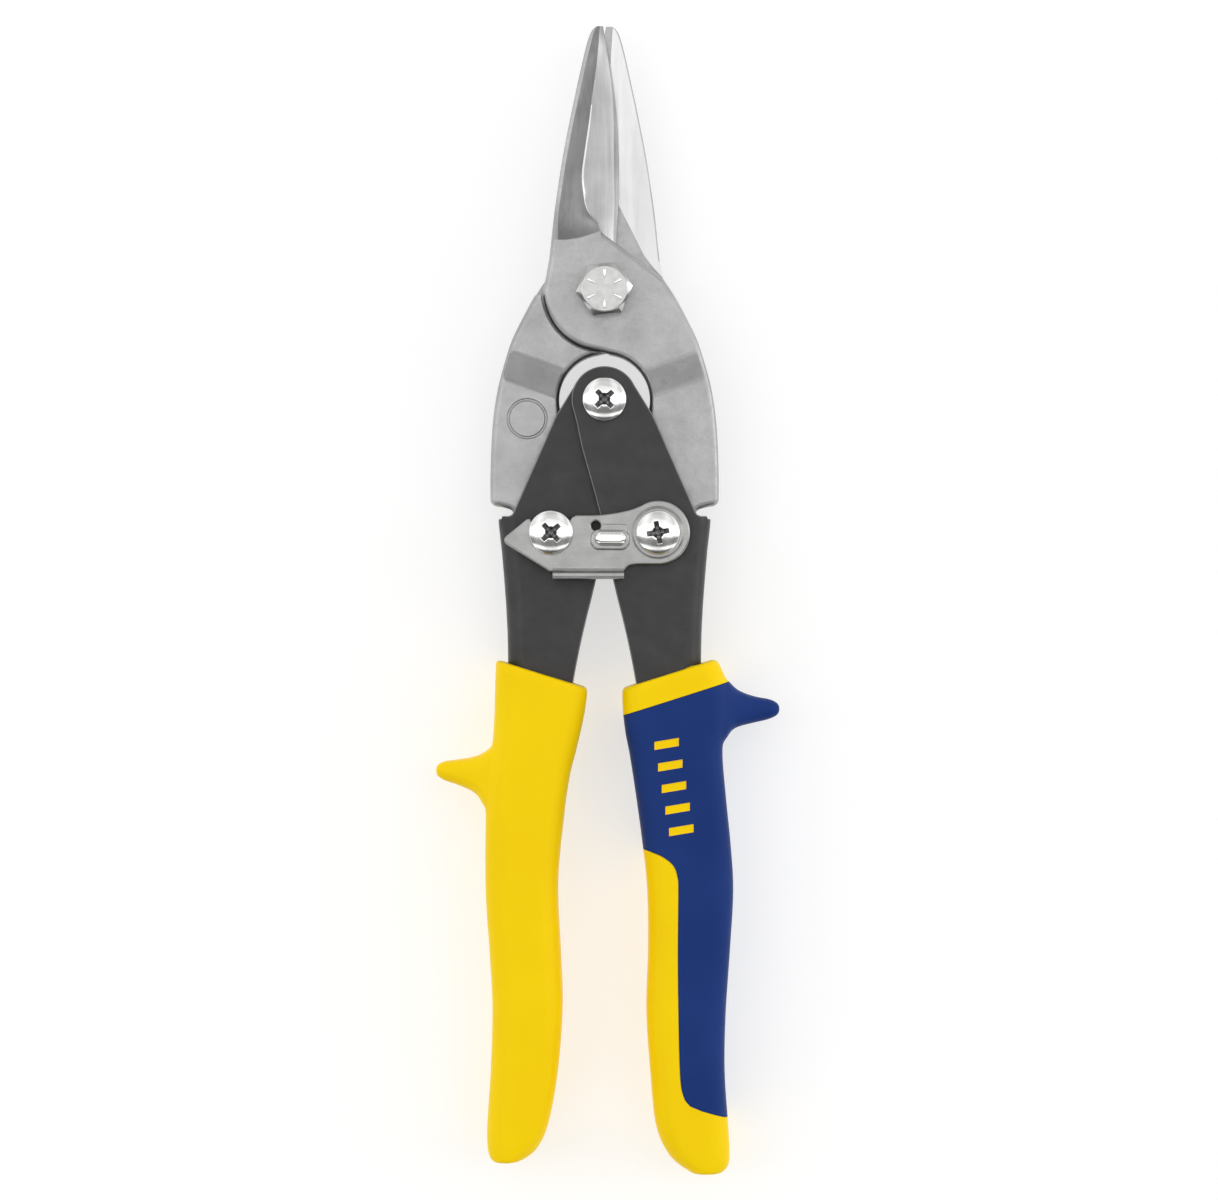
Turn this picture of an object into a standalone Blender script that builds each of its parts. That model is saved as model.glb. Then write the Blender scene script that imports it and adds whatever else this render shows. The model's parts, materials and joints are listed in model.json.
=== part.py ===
"""Straight-cut aviation snips, 10 inch, lying on their back.

+X runs to the right, +Y towards the blade tips, +Z up out of the front face. Outlines and heights
are in millimetres about the jaw pivot, with z = 0 on the shear plane between the two blades. The
back jaw and the left handle are the front jaw and the right handle turned half a turn about Y.
"""

import math

import bmesh
import bpy
from mathutils import Matrix, Vector

MM = 0.001

# Places of the pivots, from the jaw pivot.
JAW_PIVOT = (0.0, 0.0)
HANDLE_PIVOT = (0.0, -24.3)
RIGHT_PIVOT = (11.8, -53.8)
LEFT_PIVOT = (-11.8, -53.8)
FRAME_SHIFT = (-0.8, 68.4, 11.0)  # where the jaw pivot stands in the part's own frame

# Jaws.
SHEAR_GAP = 0.15  # each shear face lies this far from the shear plane
BOSS_RADIUS = 13.6
BOSS_FACE = 5.8
BODY_BACK = -5.4
WINDOW_RADIUS = 10.1
EYE_RADIUS = 7.4
TAIL_BACK = -2.8
TAIL_FACE = 4.8
RAMP_TILT = 20.0  # degrees, the ramp's edges against X
RAMP_WIDTH = 6.0
SPRING_LINE = -42.0
SPRING_SEAT = 5.5

# Folded channel handles: the right one's flanges.
SHEET = 1.8
FRONT_FLANGE = 5.0
BACK_FLANGE = -4.8
BEND_RADIUS = 4.0
FLANGE_TOP_RADIUS = 7.3
WEB_TOP = -51.7  # the web starts below the jaw's shoulder, which swings down as the jaws open
HANDLE_END = -178.0
FIT_GAP = 0.15

# Fasteners.
BOLT_SHANK = 3.175
BOLT_ACROSS_CORNERS = 12.83
BOLT_HEAD_TOP = 9.95
PIVOT_BARREL = 3.0
CENTRE_BARREL = 2.4
THREAD_RADIUS = 2.0
CATCH_NECK = 2.1
HEAD_RADIUS = 4.75
HEAD_HEIGHT = 1.95
SMALL_NUT_CORNERS = 9.2

# Latch.
LATCH_BACK = 7.6
LATCH_FACE = 9.1
DISH_DEPTH = 0.4
TAB_TOP = 12.2

# Grips.
GRIP_HALF = 11.0
GRIP_ROUND = 4.5
STOP_HALF = 7.0
STOP_ROUND = 1.6
COVER_DEPTH = 1.6
GRIP_CLEARANCE = 0.3

STEEL_GREY = (0.46, 0.46, 0.47)
DARK_GREY = (0.055, 0.056, 0.058)
PLATED = (0.72, 0.72, 0.71)
YELLOW = (0.87, 0.60, 0.0)
BLUE = (0.016, 0.042, 0.205)


def clear_scene():
    for obj in list(bpy.data.objects):
        bpy.data.objects.remove(obj, do_unlink=True)


def new_collection(name):
    collection = bpy.data.collections.new(name)
    bpy.context.scene.collection.children.link(collection)
    return collection


clear_scene()
PARTS = new_collection("aviation_snips")
CUTTERS = new_collection("cutters")


def material(name, colour, roughness, metallic):
    made = bpy.data.materials.new(name)
    made.use_nodes = True
    shader = made.node_tree.nodes["Principled BSDF"]
    shader.inputs["Base Color"].default_value = (*colour, 1.0)
    shader.inputs["Roughness"].default_value = roughness
    shader.inputs["Metallic"].default_value = metallic
    return made


# Outlines.


def arc(centre, radius, start, end, steps):
    """Points on a circular arc; angles in degrees, anticlockwise from +X."""
    angles = [math.radians(start + (end - start) * i / steps) for i in range(steps + 1)]
    return [(centre[0] + radius * math.cos(a), centre[1] + radius * math.sin(a)) for a in angles]


# Solids.


def add_object(name, mesh, collection):
    obj = bpy.data.objects.new(name, mesh)
    collection.objects.link(obj)
    return obj


def mesh_from(name, bm):
    """The bmesh as a mesh in metres, with its faces pointing out."""
    bmesh.ops.recalc_face_normals(bm, faces=bm.faces)
    mesh = bpy.data.meshes.new(name)
    bm.to_mesh(mesh)
    bm.free()
    mesh.transform(Matrix.Scale(MM, 4))
    return mesh


def slab(name, outline, low, high, rounding=0.0):
    """A flat plate from a filled 2D curve, with rounded edges if asked."""
    curve = bpy.data.curves.new(name, "CURVE")
    curve.dimensions = "2D"
    curve.fill_mode = "BOTH"
    curve.extrude = (high - low) / 2 - rounding
    curve.bevel_depth = rounding
    curve.bevel_resolution = 1
    curve.offset = -rounding
    spline = curve.splines.new("POLY")
    spline.points.add(len(outline) - 1)
    for point, (x, y) in zip(spline.points, outline):
        point.co = (x, y, 0.0, 1.0)
    spline.use_cyclic_u = True
    guide = add_object(name + "_outline", curve, CUTTERS)
    graph = bpy.context.evaluated_depsgraph_get()
    flat = bpy.data.meshes.new_from_object(guide.evaluated_get(graph))
    bpy.data.objects.remove(guide)
    bm = bmesh.new()
    bm.from_mesh(flat)
    bmesh.ops.remove_doubles(bm, verts=bm.verts, dist=0.01)
    bmesh.ops.translate(bm, verts=bm.verts, vec=(0.0, 0.0, (low + high) / 2))
    return add_object(name, mesh_from(name, bm), CUTTERS)


def drum(name, centre, radius, low, high, sides=32, top_radius=None):
    """A cylinder or cone along Z."""
    bm = bmesh.new()
    middle = Matrix.Translation((centre[0], centre[1], (low + high) / 2))
    bmesh.ops.create_cone(
        bm,
        cap_ends=True,
        segments=sides,
        radius1=radius,
        radius2=radius if top_radius is None else top_radius,
        depth=high - low,
        matrix=middle,
    )
    return add_object(name, mesh_from(name, bm), CUTTERS)


def box(name, low, high, turn=0.0):
    """A box between two corners, turned about Z through the first corner."""
    bm = bmesh.new()
    bmesh.ops.create_cube(bm, size=1.0)
    size = [b - a for a, b in zip(low, high)]
    bmesh.ops.scale(bm, verts=bm.verts, vec=size)
    bmesh.ops.translate(bm, verts=bm.verts, vec=[s / 2 for s in size])
    bmesh.ops.rotate(bm, verts=bm.verts, matrix=Matrix.Rotation(math.radians(turn), 3, "Z"))
    bmesh.ops.translate(bm, verts=bm.verts, vec=low)
    return add_object(name, mesh_from(name, bm), CUTTERS)


def side_prism(name, profile, width, place, turn):
    """A prism along X from a (y, z) profile, centred, then turned about Z and put in place."""
    bm = bmesh.new()
    ends = []
    for x in (-width / 2, width / 2):
        ends.append([bm.verts.new((x, y, z)) for y, z in profile])
    bm.faces.new(ends[0])
    bm.faces.new(ends[1])
    for i in range(len(profile)):
        j = (i + 1) % len(profile)
        bm.faces.new((ends[0][i], ends[0][j], ends[1][j], ends[1][i]))
    bmesh.ops.rotate(bm, verts=bm.verts, matrix=Matrix.Rotation(math.radians(turn), 3, "Z"))
    bmesh.ops.translate(bm, verts=bm.verts, vec=(*place, 0.0))
    return add_object(name, mesh_from(name, bm), CUTTERS)


def loft(name, stations):
    """A solid through closed sections, each a list of (x, y, z)."""
    bm = bmesh.new()
    rings = [[bm.verts.new(point) for point in station] for station in stations]
    count = len(rings[0])
    for near, far in zip(rings, rings[1:]):
        for i in range(count):
            j = (i + 1) % count
            bm.faces.new((near[i], near[j], far[j], far[i]))
    bm.faces.new(rings[0])
    bm.faces.new(rings[-1])
    return add_object(name, mesh_from(name, bm), CUTTERS)


def turned(name, centre, profile, steps=32):
    """A solid of revolution about Z from (radius, z) points, running down its outer side."""
    bm = bmesh.new()
    points = [bm.verts.new((radius, 0.0, z)) for radius, z in profile]
    for near, far in zip(points, points[1:]):
        bm.edges.new((near, far))
    mesh = bpy.data.meshes.new(name)
    bm.to_mesh(mesh)
    bm.free()
    mesh.transform(Matrix.Scale(MM, 4))
    obj = add_object(name, mesh, CUTTERS)
    screw = obj.modifiers.new("turn", "SCREW")
    screw.steps = steps
    screw.render_steps = steps
    screw.use_merge_vertices = True
    screw.merge_threshold = 0.00001
    settled = evaluated_mesh(obj)
    settled.transform(Matrix.Translation((centre[0] * MM, centre[1] * MM, 0.0)))
    bpy.data.objects.remove(obj)
    return add_object(name, settled, CUTTERS)


def evaluated_mesh(obj):
    """A copy of the object's mesh with its modifiers applied."""
    graph = bpy.context.evaluated_depsgraph_get()
    return bpy.data.meshes.new_from_object(obj.evaluated_get(graph))


def combine(target, other, operation):
    modifier = target.modifiers.new(other.name, "BOOLEAN")
    modifier.operation = operation
    modifier.solver = "EXACT"
    modifier.object = other
    other.hide_render = True
    other.display_type = "WIRE"


def join(target, *others):
    for other in others:
        combine(target, other, "UNION")


def cut(target, *others):
    for other in others:
        combine(target, other, "DIFFERENCE")


def settle(obj):
    """Applies the object's modifiers and removes the helpers that they used."""
    helpers = [m.object for m in obj.modifiers if m.type == "BOOLEAN"]
    mesh = evaluated_mesh(obj)
    obj.modifiers.clear()
    obj.data = mesh
    for helper in helpers:
        bpy.data.objects.remove(helper)
    return obj


def turned_over_copy(obj, name):
    """The same shape after half a turn about Y."""
    mesh = obj.data.copy()
    mesh.transform(Matrix.Rotation(math.pi, 4, "Y"))
    return add_object(name, mesh, CUTTERS)


def joint_empty(name, place, parent):
    """An empty on a joint's axis; place is measured from the jaw pivot."""
    empty = bpy.data.objects.new(name, None)
    PARTS.objects.link(empty)
    empty.empty_display_size = 0.01
    empty.parent = parent
    empty.location = (place[0] * MM, place[1] * MM, 0.0)
    return empty


def place_part(obj, name, looks, axis):
    """Names a finished piece, gives it its material and hangs it on its joint's empty."""
    for collection in list(obj.users_collection):
        collection.objects.unlink(obj)
    PARTS.objects.link(obj)
    obj.name = name
    obj.data.name = name
    obj.data.transform(Matrix.Translation(-axis.location))
    obj.data.materials.clear()
    obj.data.materials.append(looks)
    obj.data.shade_smooth()
    obj.data.set_sharp_from_angle(angle=math.radians(30))
    obj.parent = axis


# Jaws.

# Front blade, tip to root: y, outer edge, ridge and cutting edge in x, then the heights of the
# outer rim, the ridge and the cutting edge's upper side.
BLADE_STATIONS = [
    (58.7, -2.1, -1.2, -0.6, 1.6, 2.1, 0.8),
    (57.3, -3.3, -1.1, -0.3, 1.7, 2.4, 0.9),
    (51.5, -4.9, -1.3, 1.2, 1.9, 3.0, 1.0),
    (43.0, -6.8, -2.8, 2.3, 2.1, 3.7, 1.1),
    (34.0, -8.6, -4.1, 3.0, 2.3, 4.3, 1.2),
    (24.0, -10.2, -5.0, 3.2, 2.5, 4.9, 1.3),
    (18.7, -10.9, -4.4, 3.2, 2.6, 5.2, 1.3),
    (14.5, -11.5, -2.4, 3.0, 2.7, 5.4, 1.3),
    (9.0, -11.9, 0.0, 2.6, 2.8, 5.5, 1.3),
]
RIM_WIDTH = 0.9
EDGE_WIDTH = 0.8


def blade():
    """The front blade: outer rim, hollow bevel, ridge, land and the narrow ground edge."""
    stations = []
    for y, outer, ridge, edge, rim_z, ridge_z, edge_z in BLADE_STATIONS:
        land_z = edge_z + 0.35 * (ridge_z - edge_z)
        section = [
            (outer, SHEAR_GAP),
            (outer, rim_z),
            (outer + RIM_WIDTH * 0.6, rim_z + 0.4),
            (ridge, ridge_z),
            (edge - EDGE_WIDTH * 0.3, land_z),
            (edge, edge_z),
            (edge, SHEAR_GAP),
        ]
        stations.append([(x, y, z) for x, z in section])
    return loft("blade", stations)


def boss_outline():
    """The front half-lap: a round boss with the shoulder that carries the blade's root."""
    shoulder = [(14.0, 1.0), (12.95, 2.45), (-1.3, 13.1), (-6.8, 11.4), (-11.8, 11.1), (-12.6, 4.5)]
    right = arc(JAW_PIVOT, BOSS_RADIUS, -75, 0, 10)
    left = arc(JAW_PIVOT, BOSS_RADIUS, 180, 270, 12)
    return right + shoulder + left


def tail_outline():
    """The front jaw's body and tail at the right, down to the eye on the right pivot."""
    outer = [
        (12.95, 2.45),
        (15.6, -1.6),
        (18.2, -6.4),
        (20.4, -10.9),
        (21.9, -15.3),
        (23.2, -19.8),
        (24.1, -24.2),
        (24.7, -28.7),
        (25.1, -34.5),
        (25.3, -41.0),
        (25.3, -46.6),
        (24.7, -47.6),
        (22.3, -48.2),
        (21.3, -49.0),
        (20.2, -49.2),
    ]
    eye = arc(RIGHT_PIVOT, EYE_RADIUS, 20, -170, 14)
    inner = [(SPRING_SEAT, -45.6), (SPRING_SEAT, -33.0), (2.0, -20.0), (2.0, -8.0)]
    return outer[::-1] + inner[::-1] + eye[::-1]


def ramp_cutter(face, tail, high):
    """Takes the tail down from the body's face to the tail's face over a ramp."""
    profile = [(0.0, face), (-RAMP_WIDTH, tail), (-60.0, tail), (-60.0, high), (0.0, high)]
    return side_prism("ramp_cutter", profile, 60.0, (15.0, -15.7), RAMP_TILT)


def jaw():
    """The front jaw: half-lap boss, blade and the full-thickness tail with its eye."""
    body = slab("jaw_body", tail_outline(), BODY_BACK, BOSS_FACE - 0.02)
    below_shear = BODY_BACK - 1.0
    cut(body, drum("lap_clearance", JAW_PIVOT, BOSS_RADIUS + 0.6, below_shear, SHEAR_GAP, 64))
    cut(body, box("lap_top_clearance", (0.0, -1.2, below_shear), (30.0, 10.0, SHEAR_GAP + 0.001)))
    cut(body, ramp_cutter(BOSS_FACE, TAIL_FACE, 12.0))
    cut(body, ramp_cutter(BODY_BACK, TAIL_BACK, -12.0))
    join(body, slab("boss", boss_outline(), SHEAR_GAP, BOSS_FACE))
    join(body, blade())
    cut(body, drum("window", HANDLE_PIVOT, WINDOW_RADIUS, -20, 20, 64))
    cut(body, drum("bolt_hole", JAW_PIVOT, BOLT_SHANK + FIT_GAP, -20, 20, 32))
    cut(body, drum("eye_hole", RIGHT_PIVOT, PIVOT_BARREL + FIT_GAP, -20, 20, 32))
    return settle(body)


# Handles.

# Outer side of the channel, top to end: y and x.
CHANNEL_SIDE = [
    (-10.0, 24.5),
    (-50.0, 23.6),
    (-60.0, 22.6),
    (-77.0, 21.5),
    (-100.0, 21.6),
    (-130.0, 23.0),
    (HANDLE_END, 21.5),
]
# Inner edge of both flanges, top to end: x and y.
FLANGE_INNER = [
    (-6.4, -27.9),
    (-5.55, -32.2),
    (-4.4, -36.7),
    (-1.1, -49.3),
    (1.8, -63.8),
    (4.8, -76.2),
    (7.0, -87.3),
    (8.8, -100.0),
    (11.2, -125.0),
    (12.0, -150.0),
    (12.4, HANDLE_END),
]


def channel_section(outer, inner, grow):
    """The folded sheet across the handle: two flanges and the web between round bends."""
    front = FRONT_FLANGE + SHEET + grow
    back = BACK_FLANGE - grow
    side = outer + grow
    bend = BEND_RADIUS + grow
    front_bend = arc((side - bend, front - bend), bend, 90, 0, 4)
    back_bend = arc((side - bend, back + bend), bend, 0, -90, 4)
    return [(inner, front)] + front_bend + back_bend + [(inner, back)]


def channel():
    """The whole folded channel, wider than the flanges on its open side."""
    stations = []
    for y, outer in CHANNEL_SIDE:
        outside = channel_section(outer, -12.0, 0.0)
        inside = channel_section(outer, -12.0, -SHEET)
        stations.append([(x, y, z) for x, z in outside + inside[::-1]])
    return loft("channel", stations)


def handle_outline():
    """Both flanges seen from the front: the round top, the straight outer side and the web below."""
    top = arc(HANDLE_PIVOT, FLANGE_TOP_RADIUS, 215, 25, 16)
    shoulder = [(10.7, -27.8), (20.3, -49.5), (21.4, -50.1), (24.0, -50.1)]
    outer = [(26.0, -60.0), (26.0, HANDLE_END)]
    return top + shoulder + outer + FLANGE_INNER[:0:-1]


def handle():
    body = channel()
    combine(body, slab("flanges", handle_outline(), -8.0, 10.0), "INTERSECT")
    cut(body, box("web_relief", (17.0, WEB_TOP, TAIL_BACK - 0.3), (30.0, -40.0, FRONT_FLANGE + 0.001)))
    cut(body, drum("right_hole", RIGHT_PIVOT, PIVOT_BARREL + 0.1, -20, 20, 32))
    return body


def right_handle():
    body = handle()
    cut(body, drum("centre_hole", HANDLE_PIVOT, CENTRE_BARREL + 0.1, -20, 20, 32))
    return settle(body)


def left_handle():
    """Its centre holes are larger: the open pivot of the linkage has this clearance."""
    body = handle()
    cut(body, drum("centre_hole", HANDLE_PIVOT, CENTRE_BARREL + 0.5, -20, 20, 32))
    settle(body)
    flipped = turned_over_copy(body, "left_handle_shape")
    bpy.data.objects.remove(body)
    return flipped


# Fasteners.


def hexagon(name, centre, corners, low, high, turn=0.0):
    """A six-sided nut or head with chamfered corners on its outer end."""
    body = drum(name, centre, corners / 2, low, high, 6)
    body.data.transform(Matrix.Translation((-centre[0] * MM, -centre[1] * MM, 0.0)))
    body.data.transform(Matrix.Rotation(math.radians(turn), 4, "Z"))
    body.data.transform(Matrix.Translation((centre[0] * MM, centre[1] * MM, 0.0)))
    return body


def pivot_bolt():
    """Hex head with a chamfered top and six raised radial grade marks."""
    head_low = BOSS_FACE + FIT_GAP
    body = hexagon("bolt_head", JAW_PIVOT, BOLT_ACROSS_CORNERS, head_low, BOLT_HEAD_TOP - 0.25, 36.0)
    chamfer = drum("bolt_chamfer", JAW_PIVOT, 9.4, head_low - 1.0, BOLT_HEAD_TOP - 0.25 + 0.001, 48, 5.1)
    combine(body, chamfer, "INTERSECT")
    for mark in range(6):
        angle = math.radians(30 + 60 * mark)
        bar = box("grade_mark", (2.4, -0.35, BOLT_HEAD_TOP - 0.6), (4.5, 0.35, BOLT_HEAD_TOP))
        bar.data.transform(Matrix.Rotation(angle, 4, "Z"))
        join(body, bar)
    join(body, drum("bolt_shank", JAW_PIVOT, BOLT_SHANK, -GRIP_HALF + 0.5, head_low + 1.0, 32))
    return settle(body)


def ring(name, centre, inner, outer, low, high, sides=32):
    body = drum(name, centre, outer, low, high, sides)
    cut(body, drum(name + "_hole", centre, inner, low - 1, high + 1, sides))
    return settle(body)


def pivot_washer():
    """A split lock washer: a ring with a narrow slanting gap."""
    low = -BOSS_FACE - FIT_GAP - 1.0
    body = drum("lock_washer", JAW_PIVOT, 5.6, low, low + 1.0)
    cut(body, drum("lock_washer_hole", JAW_PIVOT, BOLT_SHANK + 0.15, low - 1, low + 2))
    cut(body, box("lock_washer_split", (2.0, -0.3, low - 1), (8.0, 0.3, low + 2), 12.0))
    return settle(body)


def nut(name, centre, corners, bore, low, high):
    body = hexagon(name, centre, corners, low, high, 30.0)
    chamfer = drum(name + "_chamfer", centre, corners / 2 * 0.93, low - 0.001, high + 3.0, 32, corners)
    combine(body, chamfer, "INTERSECT")
    cut(body, drum(name + "_bore", centre, bore, low - 1, high + 1, 32))
    return settle(body)


def pivot_nut():
    high = -BOSS_FACE - FIT_GAP - 1.0 - FIT_GAP
    return nut("pivot_nut_shape", JAW_PIVOT, BOLT_ACROSS_CORNERS, BOLT_SHANK + 0.1, -GRIP_HALF, high)


def domed_screw(name, centre, head_low, stem, cross_turn):
    """A domed head with a cross recess over a turned stem, given as (radius, z) down its side."""
    top = head_low + HEAD_HEIGHT
    crown = [(0.0, top)]
    for step in range(1, 5):
        share = step / 4
        height = HEAD_HEIGHT - 0.5
        crown.append((HEAD_RADIUS * share, head_low + 0.5 + height * math.sqrt(1 - share**2 * 0.999)))
    profile = crown + [(HEAD_RADIUS, head_low + 0.15), (HEAD_RADIUS - 0.15, head_low)] + stem
    profile.append((0.0, stem[-1][1]))
    body = turned(name, centre, profile)
    for turn in (0, 90):
        arm = box("cross_recess", (-1.75, -0.42, top - 1.2), (1.75, 0.42, top + 1))
        arm.data.transform(Matrix.Rotation(math.radians(cross_turn + turn), 4, "Z"))
        arm.data.transform(Matrix.Translation((centre[0] * MM, centre[1] * MM, 0.0)))
        cut(body, arm)
    return settle(body)


def centre_screw():
    front = FRONT_FLANGE + SHEET
    back = -FRONT_FLANGE - SHEET
    head_low = front + FIT_GAP
    barrel = [(CENTRE_BARREL, head_low), (CENTRE_BARREL, back)]
    thread = [(THREAD_RADIUS, back), (THREAD_RADIUS, -10.2)]
    return domed_screw("centre_screw_shape", HANDLE_PIVOT, head_low, barrel + thread, 42.0)


def right_screw():
    head_low = LATCH_FACE - DISH_DEPTH + FIT_GAP
    barrel = [(PIVOT_BARREL, head_low), (PIVOT_BARREL, BACK_FLANGE)]
    thread = [(THREAD_RADIUS, BACK_FLANGE), (THREAD_RADIUS, -8.4)]
    return domed_screw("right_screw_shape", RIGHT_PIVOT, head_low, barrel + thread, 10.0)


def left_screw():
    """A neck between head and collar, where the latch's notch catches, over the pivot barrel."""
    head_low = LATCH_FACE + FIT_GAP
    collar_low = -BACK_FLANGE + FIT_GAP
    back = -FRONT_FLANGE - SHEET
    stem = [
        (CATCH_NECK, head_low),
        (CATCH_NECK, LATCH_BACK - FIT_GAP),
        (3.9, LATCH_BACK - FIT_GAP),
        (3.9, collar_low),
        (PIVOT_BARREL, collar_low),
        (PIVOT_BARREL, back),
        (THREAD_RADIUS, back),
        (THREAD_RADIUS, -10.4),
    ]
    return domed_screw("left_screw_shape", LEFT_PIVOT, head_low, stem, 42.0)


def small_nut(name, centre, high):
    return nut(name, centre, SMALL_NUT_CORNERS, THREAD_RADIUS + 0.1, high - 3.3, high)


# Latch.


def latch_outline():
    """The plate from nose to pivot end, with the open notch for the left screw's neck."""
    cx, cy = LEFT_PIVOT
    notch = [(cx - 4.5, -50.9), (cx - 2.05, cy - 1.2)]
    notch += arc(LEFT_PIVOT, 2.4, 215, 345, 6)
    notch += [(cx + 2.6, cy + 0.5), (-7.5, -50.9)]
    upper = [(-6.3, -49.95), (-1.1, -49.85), (3.7, -49.2), (7.0, -48.3), (9.0, -47.35)]
    eye = arc(RIGHT_PIVOT, 7.1, 105, -85, 16)
    lower = [(8.8, -60.35), (4.8, -60.85), (4.3, -62.0), (-11.4, -62.5), (-12.2, -62.9)]
    return [(-22.4, -56.2), (-17.0, -50.8)] + notch + upper + eye + lower


def latch():
    """Stamped plate with a dished seat for the screw, a small hole, a raised rib and a finger tab."""
    body = slab("latch_shape", latch_outline(), LATCH_BACK, LATCH_FACE)
    rib = slab(
        "latch_rib",
        arc((-0.6, -54.6), 2.4, 90, 270, 8) + arc((3.0, -54.6), 2.4, 270, 450, 8),
        LATCH_FACE - 0.5,
        LATCH_FACE + 0.7,
        0.5,
    )
    tab_profile = [
        (-60.6, LATCH_BACK + 0.02),
        (-62.2, LATCH_BACK + 0.02),
        (-63.6, LATCH_BACK + 0.8),
        (-64.1, LATCH_BACK + 2.2),
        (-64.1, TAB_TOP),
        (-62.6, TAB_TOP),
        (-62.6, LATCH_FACE + 0.9),
        (-61.9, LATCH_FACE - 0.02),
        (-60.6, LATCH_FACE - 0.02),
    ]
    tab = side_prism("latch_tab", tab_profile, 15.7, (-3.55, 0.0), 0.0)
    join(body, rib, tab)
    cut(body, drum("latch_pivot_hole", RIGHT_PIVOT, PIVOT_BARREL + 0.15, 0, 20, 32))
    cut(body, drum("latch_dish", RIGHT_PIVOT, 5.5, LATCH_FACE - DISH_DEPTH, 20, 32))
    cut(body, drum("latch_small_hole", (-1.9, -52.3), 1.0, 0, 20, 16))
    return settle(body)


# Spring.


def opening_spring():
    """A compression coil along X between the jaw tails."""
    reach = SPRING_SEAT - FIT_GAP - 0.45
    turns = 6
    steps = turns * 12
    curve = bpy.data.curves.new("spring", "CURVE")
    curve.dimensions = "3D"
    curve.bevel_depth = 0.45 * MM
    curve.bevel_resolution = 2
    curve.use_fill_caps = True
    spline = curve.splines.new("POLY")
    spline.points.add(steps)
    for i, point in enumerate(spline.points):
        angle = 2 * math.pi * i / 12
        x = -reach + 2 * reach * i / steps
        y = SPRING_LINE + 2.25 * math.cos(angle)
        z = 2.25 * math.sin(angle)
        point.co = (x * MM, y * MM, z * MM, 1.0)
    guide = add_object("spring_line", curve, CUTTERS)
    mesh = evaluated_mesh(guide)
    bpy.data.objects.remove(guide)
    bm = bmesh.new()
    bm.from_mesh(mesh)
    bmesh.ops.remove_doubles(bm, verts=bm.verts, dist=0.000005)
    bmesh.ops.recalc_face_normals(bm, faces=bm.faces)
    bm.to_mesh(mesh)
    bm.free()
    return add_object("spring_shape", mesh, CUTTERS)


# Grips.

# Each station across a grip: its outer edge and its inner edge, as (x, y), from the mouth down.
LEFT_GRIP = [
    ((-24.0, -81.9), (-3.7, -88.2)),
    ((-24.2, -88.0), (-4.3, -93.0)),
    ((-24.4, -95.0), (-5.3, -98.0)),
    ((-24.9, -101.5), (-6.5, -103.0)),
    ((-26.0, -108.0), (-7.8, -108.3)),
    ((-26.3, -117.0), (-9.0, -117.0)),
    ((-26.3, -133.0), (-10.3, -131.5)),
    ((-25.4, -147.0), (-9.7, -147.0)),
    ((-24.8, -159.0), (-9.3, -159.0)),
    ((-25.2, -173.0), (-10.3, -173.0)),
    ((-25.9, -184.0), (-12.4, -184.5)),
    ((-25.9, -189.5), (-14.8, -189.8)),
    ((-25.2, -192.2), (-17.5, -192.1)),
    ((-24.0, -193.0), (-20.0, -193.0)),
]
RIGHT_GRIP = [
    ((24.9, -81.7), (3.9, -88.3)),
    ((27.0, -87.0), (4.1, -93.5)),
    ((27.2, -94.0), (4.7, -98.5)),
    ((26.1, -101.5), (5.5, -102.5)),
    ((26.9, -112.5), (6.9, -111.5)),
    ((27.9, -122.5), (8.4, -122.5)),
    ((28.5, -133.0), (9.5, -133.0)),
    ((27.7, -147.0), (9.7, -146.0)),
    ((26.8, -160.5), (9.3, -160.0)),
    ((26.6, -173.0), (10.2, -174.0)),
    ((27.4, -185.0), (11.3, -184.5)),
    ((27.7, -191.0), (13.7, -190.5)),
    ((27.3, -194.0), (16.5, -193.5)),
    ((25.5, -195.5), (19.8, -195.5)),
]
# The same for the thumb stops: upper edge and lower edge, from inside the grip out to the tip.
LEFT_STOP = [
    ((-21.0, -98.5), (-21.0, -118.0)),
    ((-25.5, -101.9), (-25.8, -114.8)),
    ((-28.5, -103.5), (-28.5, -111.4)),
    ((-33.0, -104.2), (-32.5, -109.6)),
    ((-36.0, -104.6), (-35.8, -108.6)),
    ((-37.4, -105.9), (-37.4, -107.2)),
]
RIGHT_STOP = [
    ((21.0, -84.0), (21.0, -102.5)),
    ((26.3, -85.8), (26.0, -99.8)),
    ((29.5, -88.6), (28.5, -97.1)),
    ((33.3, -90.1), (32.3, -96.0)),
    ((37.0, -90.8), (36.6, -95.1)),
    ((38.9, -92.2), (38.9, -93.6)),
]


def rounded_section(first, second, half, rounding):
    """A section standing on the line between two plan points, with its four corners rounded."""
    first, second = Vector(first), Vector(second)
    middle = (first + second) / 2
    along = (second - first).normalized()
    reach = (second - first).length / 2
    rounding = min(rounding, reach - 0.3, half - 0.3)
    section = []
    for start, side, level in ((0, 1, 1), (90, -1, 1), (180, -1, -1), (270, 1, -1)):
        centre = (side * (reach - rounding), level * (half - rounding))
        for across, z in arc(centre, rounding, start, start + 90, 3):
            place = middle + along * across
            section.append((place.x, place.y, z))
    return section


def soft_loft(name, stations, half, rounding, inset=0.0):
    """A loft through rounded sections; inset draws its sides, front and back in."""
    rings = []
    for first, second in stations:
        along = (Vector(second) - Vector(first)).normalized() * inset
        ring_ends = (Vector(first) + along, Vector(second) - along)
        rings.append(rounded_section(*ring_ends, half - inset, rounding - inset))
    return loft(name, rings)


def read_side(side, y):
    """x on a side given as (y, x) points running down, at this y."""
    for (y0, x0), (y1, x1) in zip(side, side[1:]):
        if y0 >= y >= y1:
            return x0 + (x1 - x0) * (y0 - y) / (y0 - y1)
    return side[-1][1]


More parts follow.
